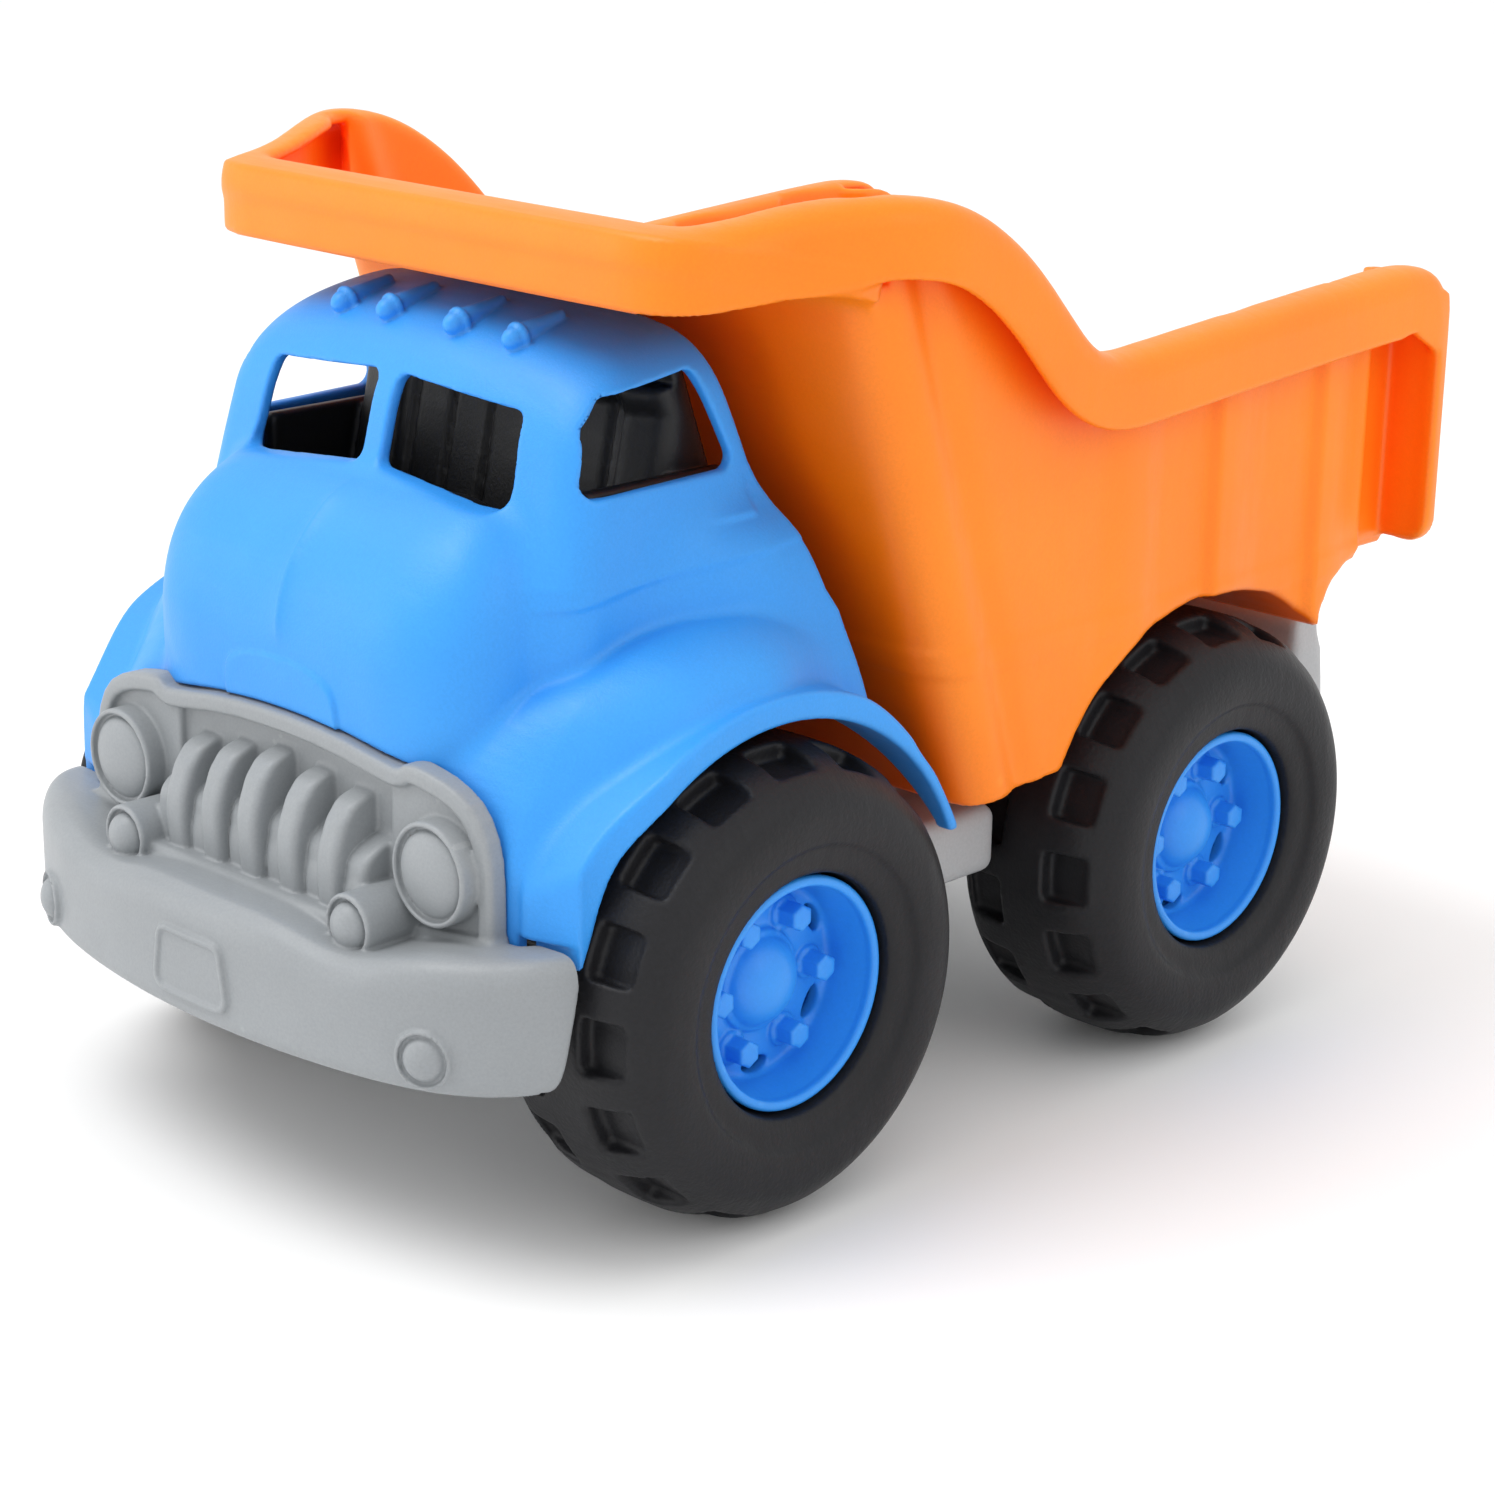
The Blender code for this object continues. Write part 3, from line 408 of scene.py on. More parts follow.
GRILLE_EDGE = outline(soften([
    (-58.6, 56.0), (-58.6, 70.0), (-58.0, 78.5), (-54.4, 85.4), (-48.0, 88.9), (-40.0, 90.4), (-36.5, 90.4),
    (-34.0, 88.9), (-31.0, 89.2), (-16.0, 91.5), (0.0, 92.2), (16.0, 91.5), (31.0, 89.2), (34.0, 88.9),
    (36.5, 90.4), (40.0, 90.4), (48.0, 88.9), (54.4, 85.4), (58.0, 78.5), (58.6, 70.0), (58.6, 56.0),
], 1))
PLATE = rounded([(-9.4, 54.0), (9.4, 54.0), (11.6, 40.4), (-11.6, 40.4)], 3.2)
# Centres of the lamps and bars, as (distance from the middle, height) or the distance alone.
HEADLIGHT = (45.8, 72.6)
FOG_LIGHT = (33.4, 61.8)
MARKER = (55.9, 43.6)
MARKER_TURN = math.radians(22.0)
BAR_X = (0.0, 11.4, 22.6)
LOW_BAR_X = (5.7, 17.0, 28.0)
BUMPER_HALF = 75.5
# The grille piece's flat back, and the face that its bars and lamps start from.
GRILLE_BACK = -113.6
BAR_BACK = -113.9


def bumper_front(x):
    share = x / BUMPER_HALF
    return -139.2 + 14.0 * share ** 2 + 9.0 * share ** 9


def fog_dip(ax):
    """How far the bumper's top sinks around the fog lights."""
    return 3.2 * bump_at(ax, 36.0, 13.0)


def bumper(ax, y, z):
    """Bowed bumper with a rounded top, hollow below."""
    share = np.minimum(ax / BUMPER_HALF, 1.05)
    top = 61.0 + 2.0 * share ** 2 - fog_dip(ax)
    low = 36.0 + 2.6 * share ** 6
    depth = y - bumper_front(np.minimum(ax, 79.0))
    solid = smax(smax(-depth, z - top, 6.5), low - z, 4.0)
    solid = smax(solid, ax - 75.4, 5.0)
    ear = np.minimum(3.4 - 0.2 * (62.0 - z), 3.4) * step_up(ax, 62.0, 66.0)
    solid = smax(solid, y - (-114.0 + ear), 1.0)
    inner = np.maximum(np.maximum(-depth + 3.0, z - top + 3.0), ax - 72.0)
    return carve(solid, np.maximum(inner, 20.0 - z), 0.6)


def bar(ax, y, height, at, profile, offset, half, rounding, top):
    """Upright grille bar whose front follows a (height, Y) profile."""
    face = spline(height, profile) + offset
    body = smax(face - y, np.abs(ax - at) - half, rounding)
    return smax(body, height - top, 2.5)


TALL_BAR = ((58, -125.2), (77, -125.0), (81, -123.0), (83.6, -120.0), (84.8, -116.6))
LOW_BAR = ((58, -123.6), (69, -123.4), (73.5, -121.6), (76.4, -116.6))


def bars(ax, y, z):
    """Five tall upright bars, lower ones between and beside them, and the ledge below."""
    body = smax(smax(-127.6 - y, ax - 29.0, 2.0), z - 61.6, 1.5)
    for i, at in enumerate(BAR_X):
        body = np.minimum(body, bar(ax, y, z + 1.3 * i, at, TALL_BAR, 0.3 * i, 3.0, 2.0, 85.2))
    for i, at in enumerate(LOW_BAR_X):
        body = np.minimum(body, bar(ax, y, z + 0.8 * i, at, LOW_BAR, 0.0, 2.9, 1.8, 76.6))
    return smax(smax(body, y - BAR_BACK, 0.4), 56.0 - z, 0.5)


def lamp(u, v, y, radius, rim_width, base, front, swell):
    """Round lamp: housing with a thin rim, and a domed lens inside it."""
    housing = disc(u, v, y, radius, front, base, 0.9)
    dish = disc(u, v, y, radius - rim_width, front - 4.0, front + 1.5, 0.4)
    inside = radius - rim_width - 0.7
    lens = egg(u, y, v, (0.0, front + 1.5, 0.0), (inside, swell, inside))
    return np.minimum(carve(housing, dish, 0.5), lens)


def grille_face(ax, y, z):
    """Bowed frame round the grille, with a flat panel behind each headlight."""
    edge = GRILLE_EDGE(ax, z)
    front = -119.0 + 1.6 * (ax / 60.0) ** 2
    slab = smax(smax(edge, front - y, 1.4), y - GRILLE_BACK, 0.4)
    face = carve(slab, smax(edge + 3.5, y - (front + 3.4), 0.8), 0.8)
    panel = smax(np.maximum(31.0 - ax, edge + 1.5), (front + 1.6) - y, 1.2)
    return smin(face, smax(panel, y - BAR_BACK, 0.4), 1.0)


def grille_bumper(x, y, z):
    """Grille, bumper, lamps and a plain number plate in one piece."""
    ax = np.abs(x)
    front = bumper_front(np.minimum(ax, 79.0))
    shelf = smax(smax(ax - 60.0, z - 60.4 + fog_dip(ax), 1.0), 55.0 - z, 1.0)
    shelf = smax(shelf, np.maximum(front + 4.0 - y, y + 114.0), 1.0)
    body = smin(smin(bumper(ax, y, z), shelf, 1.5), grille_face(ax, y, z), 1.6)
    body = smin(body, bars(ax, y, z), 0.9)
    headlight = lamp(ax - HEADLIGHT[0], z - HEADLIGHT[1], y, 9.7, 1.0, -114.4, -121.3, 2.4)
    fog_light = lamp(ax - FOG_LIGHT[0], z - FOG_LIGHT[1], y, 6.0, 0.9, -114.4, -129.6, 3.6)
    body = smin(smin(body, headlight, 0.6), fog_light, 0.6)
    out, back = ax - MARKER[0], y - bumper_front(MARKER[0])
    across = out * math.cos(MARKER_TURN) + back * math.sin(MARKER_TURN)
    into = back * math.cos(MARKER_TURN) - out * math.sin(MARKER_TURN)
    body = smin(body, lamp(across, z - MARKER[1], into, 5.6, 0.8, 4.0, -1.1, 2.8), 0.6)
    plate = PLATE(ax, z)
    proud = 1.0 * step_up(-plate, -0.3, 0.3) - 0.6 * step_up(-plate, 1.0, 1.6)
    plate_face = smax(plate, np.maximum(front - proud - y, y + 134.0), 0.5)
    return smin(body, plate_face, 0.4)


# ---------------------------------------------------------------- dump bed

BED_WALL = 2.6
REAR_ARCH = 52.0
HINGE_Y, HINGE_Z = 112.0, 84.0
BED_LUG_X = 20.75
REAR_LEG_Z = 97.0
LEG_CORNER = 7.0
# The rim's crest in side view, and its plan; both run on past the bed where it has no edge.
CREST_SIDE = outline(soften([
    (-190.0, 182.4), (-86.0, 182.6), (-74.0, 183.2), (-64.0, 184.2), (-55.0, 186.2), (-46.0, 187.5),
    (-38.0, 187.7), (-29.0, 186.5), (-20.0, 183.4), (-11.0, 178.0), (-3.0, 171.4), (6.0, 162.0),
    (11.5, 156.4), (17.0, 153.0), (23.0, 152.0), (31.0, 152.5), (55.0, 154.3), (85.0, 156.4),
    (108.0, 157.9), (119.0, 158.2), (127.0, 156.8), (131.2, 151.5), (131.5, 143.0), (131.5, 120.0),
    (131.5, 97.0), (131.5, -60.0), (-190.0, -60.0),
], 2))
RIM_PLAN = outline(soften([
    (0.0, -82.0), (44.0, -82.0), (58.0, -81.6), (66.0, -77.0), (69.0, -68.0), (72.4, -59.0), (77.0, -51.0),
    (82.5, -42.0), (85.4, -33.0), (86.0, -22.0), (86.0, 60.0), (86.0, 240.0), (-90.0, 240.0), (-90.0, -82.0),
], 2))
BED_SIDE = outline([
    (-55.0, 200.0), (-50.0, 181.0), (-44.6, 171.0), (-13.6, 71.0), (-12.6, 67.2), (-8.0, 66.0), (15.4, 69.4),
    (18.0, 70.5), (93.0, 70.5), (95.6, 73.0), (96.2, 80.0), (97.8, 86.5), (101.0, 91.5), (106.0, 95.2),
    (113.0, 97.6), (140.0, 98.0), (140.0, 200.0),
])


def wall_x(y, z):
    """Half width of the bed's side, with its soft upright ribs."""
    out = 77.9 + 0.9 * step_up(y, 22.0, 34.0) - 1.0 * step_up(y, 36.0, 44.0)
    out = out + 2.0 * step_up(y, 57.0, 60.5) - 1.8 * step_up(y, 64.0, 78.0)
    out = out + 2.0 * step_up(y, 92.0, 95.5) - 1.8 * step_up(y, 98.0, 112.0)
    out = out - 5.0 * step_up(y, 112.0, 119.0)
    groove = bump_at(y - 0.327 * (171.0 - z) + 44.0, 14.0, 4.0)
    return out - 1.5 * groove


def tub(ax, y, z, inset):
    """Space enclosed by the bed's walls and floor."""
    side = ax - wall_x(y, z) + inset
    lean = math.atan2(31.4, 100.0)
    front = (-44.4 + (171.0 - z) * 0.314 - y) * math.cos(lean) + inset
    floor = 95.2 - z + inset
    return smax(smax(side, front, 13.0 - inset), floor if inset else 60.0 - z, 3.0)


def leg_corner(ax, z):
    """Rounded lower corner of the rim's rear leg."""
    out = np.maximum(ax - (86.0 - LEG_CORNER), 0.0)
    down = np.maximum(REAR_LEG_Z + LEG_CORNER - z, 0.0)
    return np.sqrt(out ** 2 + down ** 2) - LEG_CORNER


def bed_rim(ax, y, z, crest, plan):
    """Rolled rim, open below, that comes down the bed's rear corner as a leg."""
    skirt = 14.2 - 9.8 * step_up(-z, -146.0, -138.0) * step_up(y, 112.0, 118.0)
    rim = smax(plan, crest, 6.0)
    rim = smax(rim, -(crest + skirt), 1.0)
    rim = carve(rim, smax(plan + 2.5, crest + 2.8, 4.5), 1.2)
    rim = carve(rim, plan + 9.6, 2.5)
    return smax(rim, leg_corner(ax, z) - 20.0 * step_up(z, 104.0, 110.0), 1.0)


def bed_walls(ax, y, z, crest, inner, shelf_z):
    """Thin walls, the wheel wells and the floor."""
    outside = tub(ax, y, z, 0.0)
    walls = carve(outside, inner, 0.8)
    walls = smax(walls, BED_SIDE(y, z), 1.0)
    walls = smax(walls, crest + 1.2, 0.8)
    under_shelf = np.minimum(z - shelf_z - 1.5, z - 172.0)
    walls = smax(walls, np.where(y < -38.0, under_shelf, -20.0), 0.8)
    arch = np.sqrt((y - REAR_AXLE_Y) ** 2 + (z - AXLE_Z) ** 2) - REAR_ARCH
    well = smax(np.abs(arch - 1.3) - 1.3, np.maximum(46.0 - ax, ax - wall_x(y, z) + 0.4), 1.0)
    well = smax(smax(well, 70.0 - z, 0.6), y - 97.0, 0.6)
    walls = carve(smin(walls, well, 1.5), arch, 1.0)
    floor = smax(np.abs(z - 96.6) - 1.4, np.maximum(outside + 0.8, y - 130.2), 0.6)
    return smin(walls, smax(floor, -arch, 0.4), 2.5)


def dump_bed(x, y, z):
    """Bed with its rolled rim, the canopy over the cab, rear flanges and two hinge lugs."""
    ax = np.abs(x)
    crest, plan = CREST_SIDE(y, z), RIM_PLAN(ax, y)
    inner = tub(ax, y, z, BED_WALL)
    shelf_z = 180.4 - 0.245 * (y + 82.0)
    walls = bed_walls(ax, y, z, crest, np.maximum(inner, -150.0 - y), shelf_z)
    flange = np.maximum(np.maximum(70.0 - ax, ax - 85.2), np.maximum(REAR_LEG_Z + 0.4 - z, z - 152.0))
    flange = smax(np.abs(y - 129.3) - 2.1, flange, 1.0)
    flange = smax(flange, crest + 0.4, 0.8)
    flange = np.where(z < REAR_LEG_Z + LEG_CORNER, smax(flange, leg_corner(ax, z) + 0.4, 0.5), flange)
    body = smin(smin(bed_rim(ax, y, z, crest, plan), walls, 1.6), flange, 1.2)
    body = smax(body, y - 131.4, 0.2)
    shelf = np.maximum(np.maximum(plan + 1.5, ax - 77.6), y + 42.0)
    shelf = smax(np.abs(z - shelf_z) - 1.5, shelf, 0.8)
    body = smin(body, carve(shelf, smax(inner, -60.0 - y, 1.0), 0.6), 4.0)
    body = carve(body, np.maximum(inner, 130.0 - z) + 0.2, 1.5)
    from_hinge = np.sqrt((y - HINGE_Y) ** 2 + (z - HINGE_Z) ** 2)
    across = np.abs(ax - BED_LUG_X) - 2.75
    web = smax(np.abs(y - HINGE_Y) - 5.0, np.maximum(HINGE_Z - z, z - 96.0), 0.5)
    lug = smin(smax(from_hinge - 5.2, across, 0.8), smax(web, across, 0.8), 0.8)
    return carve(np.minimum(body, lug), np.maximum(from_hinge - 2.9, ax - 40.0), 0.3)


# ---------------------------------------------------------------- interior and chassis

def cab_interior(x, y, z):
    """Black liner: grooved back panel, seat with side bolsters, door cards, and a dash with a small hump."""
    ax = np.abs(x)
    back = spline(z, ((60, -31.0), (78, -31.0), (87, -34.0), (111, -42.2), (137, -51.8), (160, -60.2)))
    panel = smax(np.abs(y - back) - 1.6, np.maximum(ax - 43.4, np.maximum(63.0 - z, z - 159.8)), 0.8)
    wide = smax(np.abs(y - back + 0.4) - 1.6, np.maximum(ax - 54.0, np.maximum(95.0 - z, z - 126.5)), 0.8)
    panel = smin(panel, wide, 0.6)
    turns = (x + 5.5) / 11.0
    groove = np.abs(turns - np.round(turns)) * 11.0
    cushion = np.minimum(-57.5 - 0.22 * (150.0 - z), back - 4.0)
    seat_face = cushion + 1.2 * step_up(-groove, -1.1, -0.3)
    seat = smax(seat_face - y, y - back, 1.0)
    seat = smax(seat, np.maximum(ax - 33.6, np.maximum(100.5 - z, z - 153.5)), 2.0)
    bolster = smax(cushion - 4.0 + 0.3 * (ax - 33.0) - y, y - back, 2.0)
    bolster_side = np.maximum(np.abs(ax - 38.0) - 5.5, np.maximum(100.5 - z, z - 151.0))
    bolster = smax(bolster, bolster_side, 3.5)
    card = block(ax, y, z, (45.2, -66.0, 120.0), (1.6, 17.5, 15.4), 1.2)
    dash = block(x, y, z, (0.0, -87.2, 116.2), (34.8, 7.0, 11.6), 4.0)
    hump = egg(x, y, z, (14.0, -86.0, 126.6), (9.0, 4.5, 3.6))
    floor = block(x, y, z, (0.0, -68.5, 103.0), (37.5, 25.5, 2.0), 1.0)
    post = block(x, y, z, (0.0, -75.0, 82.5), (27.5, 14.5, 19.5), 2.0)
    chair = np.minimum(smin(smin(panel, seat, 1.5), bolster, 1.0), card)
    return np.minimum(np.minimum(chair, smin(dash, hump, 2.0)), np.minimum(floor, post))


# Outlines of the chassis in side view, as (Y, height).
TRAY = outline([
    (-112.4, 44.2), (-112.4, 58.0), (-108.0, 61.9), (92.0, 61.9), (104.0, 71.9), (114.0, 71.9), (117.9, 66.0),
    (117.9, 50.0), (112.0, 40.2), (100.0, 34.6), (-100.0, 34.6),
])
TRAY_HOLLOW = outline([
    (-109.5, 20.0), (-109.5, 56.0), (-106.5, 59.0), (92.5, 58.6), (104.5, 68.2), (112.0, 69.0), (115.0, 65.2),
    (115.0, 20.0),
])
MEMBER = outline([
    (109.6, 50.4), (109.6, 73.5), (111.2, 76.4), (117.3, 76.4), (120.9, 72.3), (122.4, 60.3), (121.4, 50.4),
])
MEMBER_HOLLOW = outline([(112.6, 40.0), (112.6, 73.0), (117.2, 73.3), (118.8, 70.0), (119.3, 40.0)])
RIDGE = outline([(109.8, 70.0), (109.8, 78.6), (111.2, 80.4), (116.4, 80.4), (118.4, 78.2), (119.0, 70.0)])
CHASSIS_LUG = outline([
    (106.0, 71.0), (106.0, 87.0), (109.0, 89.9), (115.0, 89.9), (118.3, 87.0), (118.3, 71.5),
])


def chassis(x, y, z):
    """Open-bottomed tray, wider between the wheels, with a cross member, a ridge and lugs at the rear."""
    ax = np.abs(x)
    tray = smax(TRAY(y, z), ax - 43.4, 3.0)
    middle = block(x, y, z, (0.0, -2.2, 52.2), (63.9, 15.6, 7.2), 3.0)
    member = smax(MEMBER(y, z), ax - 65.9, 2.5)
    ridge = smax(RIDGE(y, z), np.abs(ax - 48.4) - 17.5, 1.6)
    body = smin(smin(smin(tray, middle, 1.5), member, 1.5), ridge, 1.0)
    rest = block(ax, y, z, (26.0, -2.0, 62.5), (12.0, 7.0, 2.1), 0.8)
    lug = smax(CHASSIS_LUG(y, z), np.abs(ax - 26.5) - 2.5, 0.8)
    body = smin(smin(body, rest, 0.8), lug, 0.8)
    middle_hollow = block(x, y, z, (0.0, -2.2, 38.0), (61.0, 12.8, 18.6), 2.0)
    body = carve(body, smax(TRAY_HOLLOW(y, z), ax - 40.4, 1.5), 0.6)
    body = carve(body, middle_hollow, 0.6)
    body = carve(body, smax(MEMBER_HOLLOW(y, z), ax - 63.0, 1.0), 0.6)
    for axle_y in (FRONT_AXLE_Y, REAR_AXLE_Y):
        body = carve(body, np.sqrt((y - axle_y) ** 2 + (z - AXLE_Z) ** 2) - 3.4, 0.3)
    return carve(body, np.sqrt((y - HINGE_Y) ** 2 + (z - HINGE_Z) ** 2) - 2.85, 0.3)


# ---------------------------------------------------------------- wheels

# Section of the tyre, as (radius, distance from the middle of the truck).
TYRE = outline(soften([
    (22.7, 48.4), (27.0, 47.8), (36.5, 47.8), (41.5, 49.5), (44.6, 54.0), (45.4, 60.0), (45.5, 67.5),
    (45.3, 74.5), (43.2, 81.5), (39.0, 86.0), (35.0, 87.2), (29.5, 87.0), (28.6, 85.7), (24.5, 85.2),
    (22.7, 84.0),
], 2))
POCKETS = 16
# Place along X of each ring of pockets, and its turn in pockets.
POCKET_RINGS = ((77.6, 0.0), (57.6, 0.5))
NUTS = 6


def tyre(x, y, z):
    """Moulded tyre turning about X, with square pockets round both shoulders."""
    radius = np.sqrt(y * y + z * z)
    turn = np.arctan2(z, y)
    body = TYRE(radius, x)
    pitch = 2 * math.pi / POCKETS
    for centre_x, phase in POCKET_RINGS:
        local = (turn / pitch + phase - np.round(turn / pitch + phase)) * pitch
        across = local * 43.0
        pocket = smax(smax(np.abs(across) - 5.1, np.abs(x - centre_x) - 4.6, 1.6), 41.8 - radius, 1.2)
        body = carve(body, pocket, 0.9)
    return body


def hub(x, y, z):
    """Dished wheel disc: thin lip, six hexagon nuts round a big dome, and vents at the disc's edge."""
    radius = np.sqrt(y * y + z * z)
    turn = np.arctan2(z, y)
    barrel = smax(radius - 22.25, np.maximum(54.6 - x, x - 83.0), 0.8)
    lip = ring(y, z, x, 21.3, 82.4, 0.9)
    dish = smax(radius - spline(x, ((70, 18.6), (76, 19.4), (84, 20.8))), 72.6 - x, 1.5)
    back = smax(radius - 19.0, x - 70.0, 0.5)
    body = smin(carve(carve(barrel, dish, 0.5), back, 0.5), lip, 0.6)
    pitch = 2 * math.pi / NUTS
    local = turn / pitch - np.round(turn / pitch)
    px, py = radius * np.cos(local * pitch) - 13.4, radius * np.sin(local * pitch)
    hexagon = np.maximum(np.abs(px), np.abs(px) * 0.5 + np.abs(py) * 0.866) - 2.35
    nut = smax(hexagon, np.maximum(x - 78.0, 71.0 - x), 0.7)
    washer = disc(px, py, x, 3.3, 71.0, 73.6, 0.5)
    dome = egg(x, y, z, (71.5, 0.0, 0.0), (7.4, 9.2, 9.2))
    boss = disc(y, z, x, 9.9, 70.0, 73.8, 0.8)
    half_turn = turn / pitch + 0.5
    vent_turn = (half_turn - np.round(half_turn)) * pitch
    vent = np.sqrt(((radius - 17.0) / 1.5) ** 2 + (vent_turn * 17.0 / 3.4) ** 2) - 1.0
    body = carve(body, np.maximum(vent * 1.4, 65.0 - x), 0.4)
    body = smin(smin(body, smin(nut, washer, 0.4), 0.5), smin(dome, boss, 0.6), 0.6)
    bore = np.maximum(radius - 3.3, x - 71.0)
    return carve(body, bore, 0.3)


# ---------------------------------------------------------------- materials

def srgb(r, g, b):
    """Linear colour of an sRGB colour given from 0 to 255."""
    return tuple(((c / 255 + 0.055) / 1.055) ** 2.4 if c > 10 else c / 3294.6 for c in (r, g, b)) + (1.0,)


class Nodes:
    """Short way to add and link a material's nodes."""

    def __init__(self, name):
        self.material = bpy.data.materials.new(name)
        self.material.use_nodes = True
        self.tree = self.material.node_tree
        self.shader = self.tree.nodes["Principled BSDF"]

    def add(self, kind, inputs=(), **settings):
        node = self.tree.nodes.new(kind)
        for key, value in settings.items():
            setattr(node, key, value)
        for key, value in dict(inputs).items():
            socket = node.inputs[key]
            if hasattr(value, "is_output"):
                self.tree.links.new(value, socket)
            else:
                socket.default_value = value
        return node

    def noise(self, place, scale, detail, roughness):
        inputs = {"Vector": place, "Scale": scale, "Detail": detail, "Roughness": roughness}
        return self.add("ShaderNodeTexNoise", inputs).outputs["Fac"]

    def remap(self, value, low, high, to_low, to_high):
        inputs = {"Value": value, "From Min": low, "From Max": high, "To Min": to_low, "To Max": to_high}
        return self.add("ShaderNodeMapRange", inputs).outputs["Result"]

    def mix(self, share, first, second):
        return self.add("ShaderNodeMix", {"Factor": share, 6: first, 7: second}, data_type="RGBA").outputs[2]

    def calc(self, operation, first, second):
        return self.add("ShaderNodeMath", {0: first, 1: second}, operation=operation).outputs[0]

    def link(self, output, socket):
        self.tree.links.new(output, self.shader.inputs[socket])


# How much of the worn colour shows on an edge, and how far in metres a wall reaches when painting shade onto
# its neighbour.
EDGE_WEAR = 0.35
FOLD_SHADE_REACH = 0.05


def plastic(name, colour, worn, dark, roughness, grain, grain_depth, speckle, shine=0.4, fold_shade_colour=None):
    """Moulded plastic: fine grain, slow drift of tone, scuffs, and edges rubbed paler.

    Colours are sRGB. Given a fold colour, folds are painted in it where ambient occlusion finds a nearby
    wall: painted shade, standing in for light bouncing between two walls.
    """
    n = Nodes(name)
    place = n.add("ShaderNodeTexCoord").outputs["Object"]
    drift = n.noise(place, 22.0, 3.0, 0.55)
    fine = n.noise(place, grain, 2.0, 0.6)
    stretched = n.add("ShaderNodeMapping", {"Vector": place, "Scale": (60.0, 500.0, 90.0)})
    scuff = n.noise(stretched.outputs["Vector"], 1.0, 4.0, 0.7)
    base = n.mix(n.remap(drift, 0.3, 0.7, 0.0, 1.0), srgb(*dark), srgb(*colour))
    dots = n.remap(fine, 0.25, 0.75, 1.0 - speckle, 1.0 + speckle)
    speck = n.add("ShaderNodeHueSaturation", {"Color": base, "Value": dots}).outputs["Color"]
    point = n.add("ShaderNodeNewGeometry").outputs["Pointiness"]
    rubbed = n.calc("MULTIPLY", n.remap(point, 0.53, 0.62, 0.0, EDGE_WEAR), scuff)
    final = n.mix(rubbed, speck, srgb(*worn))
    # Painted shade: where ambient occlusion finds a nearby wall, the colour is mixed towards the fold colour.
    if fold_shade_colour:
        fold_shade_ao = n.add("ShaderNodeAmbientOcclusion", {"Distance": FOLD_SHADE_REACH}, samples=6).outputs["AO"]
        final = n.mix(n.remap(fold_shade_ao, 0.25, 0.8, 0.0, 1.0), srgb(*fold_shade_colour), final)
    n.link(final, "Base Color")
    n.link(n.remap(scuff, 0.3, 0.7, roughness - 0.05, roughness + 0.06), "Roughness")
    bump = {"Height": n.calc("ADD", fine, drift), "Distance": grain_depth * MM, "Strength": 1.0}
    n.link(n.add("ShaderNodeBump", bump).outputs["Normal"], "Normal")
    n.shader.inputs["IOR"].default_value = 1.49
    n.shader.inputs["Specular IOR Level"].default_value = shine
    return n.material


# Colour, worn colour, dark colour, roughness, grain's scale, grain's depth in mm, and speckle; blue and
# orange also get a colour for the painted shade in their folds.
BLUE = plastic("blue satin plastic", (52, 150, 231), (118, 186, 244), (46, 143, 226),
               0.42, 1900.0, 0.05, 0.05, fold_shade_colour=(56, 142, 232))
HUB_BLUE = plastic("hub blue plastic", (50, 146, 234), (110, 180, 245), (42, 138, 228),
                   0.36, 1500.0, 0.02, 0.04)
ORANGE = plastic("orange satin plastic", (250, 134, 9), (255, 165, 60), (246, 126, 6),
                 0.42, 1700.0, 0.03, 0.05, fold_shade_colour=(255, 92, 0))
GREY = plastic("grey satin plastic", (145, 149, 152), (188, 190, 192), (138, 142, 145),
               0.42, 1700.0, 0.03, 0.05)
PALE = plastic("chassis pale grey plastic", (176, 178, 180), (205, 206, 207), (168, 170, 172),
               0.45, 1500.0, 0.04, 0.06)
BLACK = plastic("black liner plastic", (22, 22, 24), (70, 70, 72), (17, 17, 19),
                0.45, 1400.0, 0.06, 0.12)
TYRE_BLACK = plastic("tyre pebbled plastic", (27, 27, 30), (66, 66, 68), (21, 21, 24),
                     0.48, 1100.0, 0.12, 0.15, shine=0.28)

# ---------------------------------------------------------------- pieces

COARSER = 1.0
# Name, shape, its box in millimetres, cell, whether mirrored, then material, body, slot and CAD node.
SKINS = (
    ("cab_skin", cab_shell, (0, -121, 57), (80, -12, 168), 0.64, True,
     BLUE, "truck", "blue_plastic", "cab_shell"),
    ("grille_skin", grille_bumper, (0, -142, 34), (78, -112, 94), 0.48, True,
     GREY, "truck", "grey_plastic", "grille_bumper"),
    ("interior_skin", cab_interior, (-56, -96, 61), (56, -24, 162), 0.95, False,
     BLACK, "truck", "black_plastic", "cab_interior"),
    ("chassis_skin", chassis, (0, -114, 33), (68, 125, 92), 1.3, True,
     PALE, "truck", "chassis_plastic", "chassis"),
    ("bed_skin", dump_bed, (0, -84, 64), (88, 134, 190), 0.95, True,
     ORANGE, "bed", "orange_plastic", "dump_bed"),
)


def dress(obj, material, body, node):
    """Puts the skin on its body in place of the CAD node."""
    obj.data.materials.clear()
    obj.data.materials.append(material)
    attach(obj, body)
    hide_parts(node)


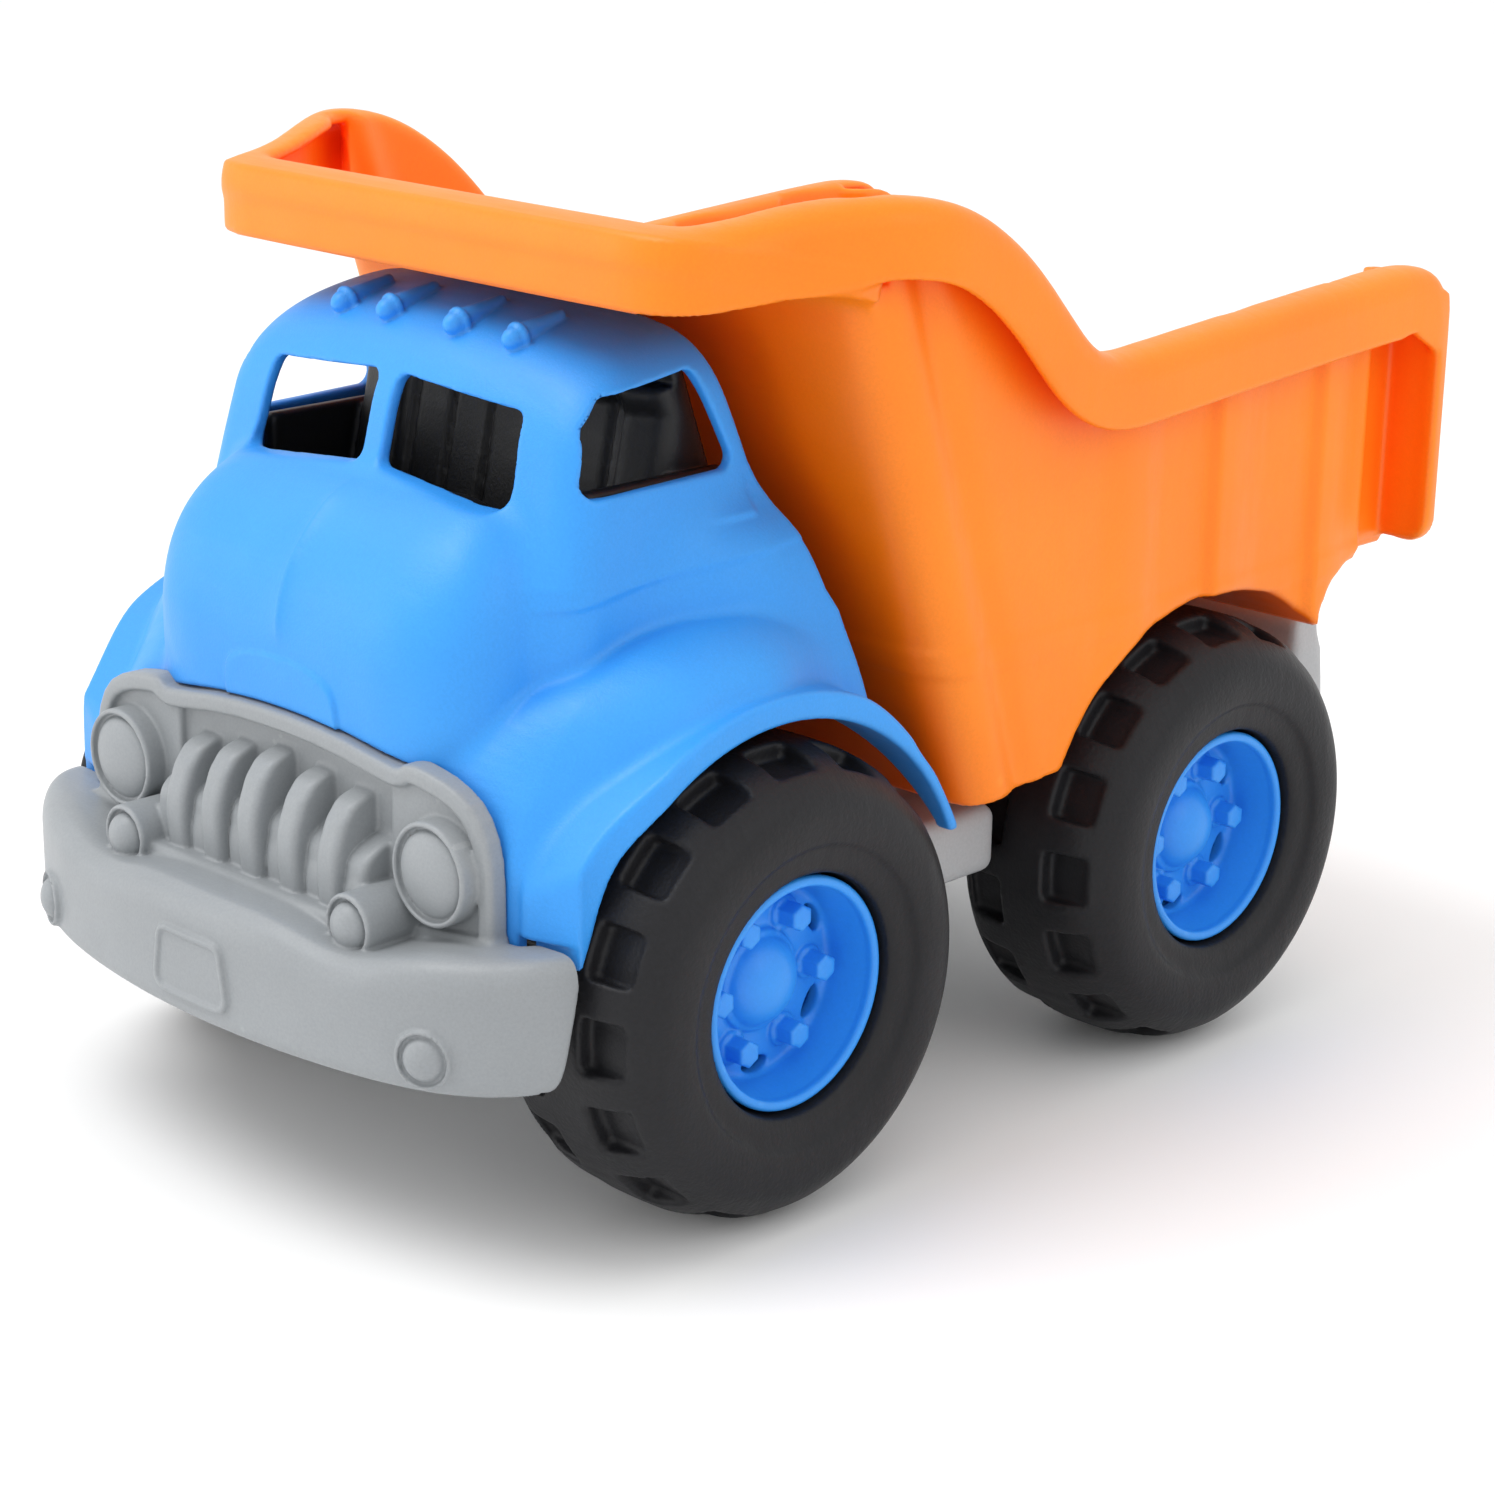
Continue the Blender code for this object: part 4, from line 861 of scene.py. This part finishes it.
def wheel_set(body, end, axle_y, tyre_mesh, hub_mesh):
    """Two tyres and two hubs on one axle. The left ones are the right ones turned round."""
    kinds = (("tyre", tyre_mesh, TYRE_BLACK, "tyre_plastic"), ("hub", hub_mesh, HUB_BLUE, "hub_plastic"))
    for side, turn in (("right", 0.0), ("left", math.pi)):
        for kind, source, material, slot in kinds:
            obj = bpy.data.objects.new("%s_skin_%s_%s" % (kind, end, side), source)
            bpy.context.scene.collection.objects.link(obj)
            place = Matrix.Translation((0.0, (axle_y + DATUM_Y) * MM, AXLE_Z * MM))
            obj.matrix_world = place @ Matrix.Rotation(turn, 4, "Z")
            bpy.context.view_layer.update()
            dress(obj, material, body, "%s_%s_%s" % (kind, end, side))


def recolour(node, material):
    if not node.material_slots:
        node.data.materials.append(material)
    for slot in node.material_slots:
        slot.material = material


def build():
    for name, shape, low, high, cell, mirrored, material, body, slot, node in SKINS:
        dress(sculpt(name, shape, low, high, cell * COARSER, mirrored), material, body, node)
    tyre_form = sculpt("tyre_form", tyre, (46, -47, -47), (89, 47, 47), 0.7 * COARSER, False)
    hub_form = sculpt("hub_form", hub, (53, -24, -24), (85, 24, 24), 0.45 * COARSER, False)
    for form in (tyre_form, hub_form):
        form.data.transform(Matrix.Translation((0.0, -DATUM_Y * MM, 0.0)))
    wheel_set("front_wheels", "front", FRONT_AXLE_Y, tyre_form.data, hub_form.data)
    wheel_set("rear_wheels", "rear", REAR_AXLE_Y, tyre_form.data, hub_form.data)
    bpy.data.objects.remove(tyre_form)
    bpy.data.objects.remove(hub_form)
    for name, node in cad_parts.items():
        if name.startswith("wheel_back"):
            recolour(node, BLACK)
        elif name in ("front_axle", "rear_axle", "bed_hinge_pin"):
            recolour(node, PALE)


# ---------------------------------------------------------------- studio

FLOOR_HALF = 4.0
LIGHT_TARGET = (0.0, 0.0, 0.08)
# Name, place, size in metres and power of each light.
LIGHTS = (
    ("key", (-0.35, -0.55, 1.15), 0.8, 7.0),
    ("side", (1.1, 0.1, 0.75), 0.8, 1.2),
    ("fill", (-0.75, -0.75, 0.30), 0.7, 1.4),
)
WORLD_STRENGTH = 1.05


def area_light(name, place, size, power):
    data = bpy.data.lights.new(name, "AREA")
    data.shape = "DISK"
    data.size = size
    data.energy = power
    obj = bpy.data.objects.new(name, data)
    bpy.context.scene.collection.objects.link(obj)
    obj.location = place
    obj.rotation_euler = (Vector(LIGHT_TARGET) - Vector(place)).to_track_quat("-Z", "Y").to_euler()


def studio():
    """White floor, even white surroundings and three soft lights."""
    mesh = bpy.data.meshes.new("studio_floor")
    corners = [(u * FLOOR_HALF, v * FLOOR_HALF, 0.0) for u, v in ((-1, -1), (1, -1), (1, 1), (-1, 1))]
    mesh.from_pydata(corners, [], [(0, 1, 2, 3)])
    floor = bpy.data.objects.new("studio_floor", mesh)
    bpy.context.scene.collection.objects.link(floor)
    n = Nodes("studio white")
    place = n.add("ShaderNodeTexCoord").outputs["Object"]
    cloud = n.add("ShaderNodeTexNoise", {"Vector": place, "Scale": 3.0}).outputs["Fac"]
    n.link(n.remap(cloud, 0.0, 1.0, 0.60, 0.66), "Roughness")
    n.shader.inputs["Base Color"].default_value = (0.95, 0.95, 0.95, 1.0)
    mesh.materials.append(n.material)
    world = bpy.data.worlds.new("studio")
    bpy.context.scene.world = world
    world.use_nodes = True
    background = world.node_tree.nodes["Background"]
    background.inputs["Color"].default_value = (1.0, 1.0, 1.0, 1.0)
    background.inputs["Strength"].default_value = WORLD_STRENGTH
    for light in LIGHTS:
        area_light(*light)
    bpy.context.scene.view_settings.view_transform = "Standard"


# Angles in degrees: round from the truck's front, above the horizon, and the tilt of the picture.
CAMERA_TURN, CAMERA_RISE, CAMERA_ROLL = 44.154, 17.794, 0.899
CAMERA_PLACE = Vector((0.47468, -0.47798, 0.27629))
# Focal length over the picture's width.
FOCAL_SHARE = 2.25884


def camera():
    turn, rise, roll = (math.radians(v) for v in (CAMERA_TURN, CAMERA_RISE, CAMERA_ROLL))
    back = Vector((math.sin(turn) * math.cos(rise), -math.cos(turn) * math.cos(rise), math.sin(rise)))
    right = Vector((0.0, 0.0, 1.0)).cross(back).normalized()
    up = back.cross(right)
    across = right * math.cos(roll) + up * math.sin(roll)
    above = up * math.cos(roll) - right * math.sin(roll)
    data = bpy.data.cameras.new("camera")
    data.sensor_width = 36.0
    data.lens = data.sensor_width * FOCAL_SHARE
    data.clip_start = 0.01
    obj = bpy.data.objects.new("camera", data)
    bpy.context.scene.collection.objects.link(obj)
    rows = [(across[i], above[i], back[i], CAMERA_PLACE[i]) for i in range(3)] + [(0.0, 0.0, 0.0, 1.0)]
    obj.matrix_world = Matrix(rows)
    bpy.context.scene.camera = obj


build()
studio()
camera()
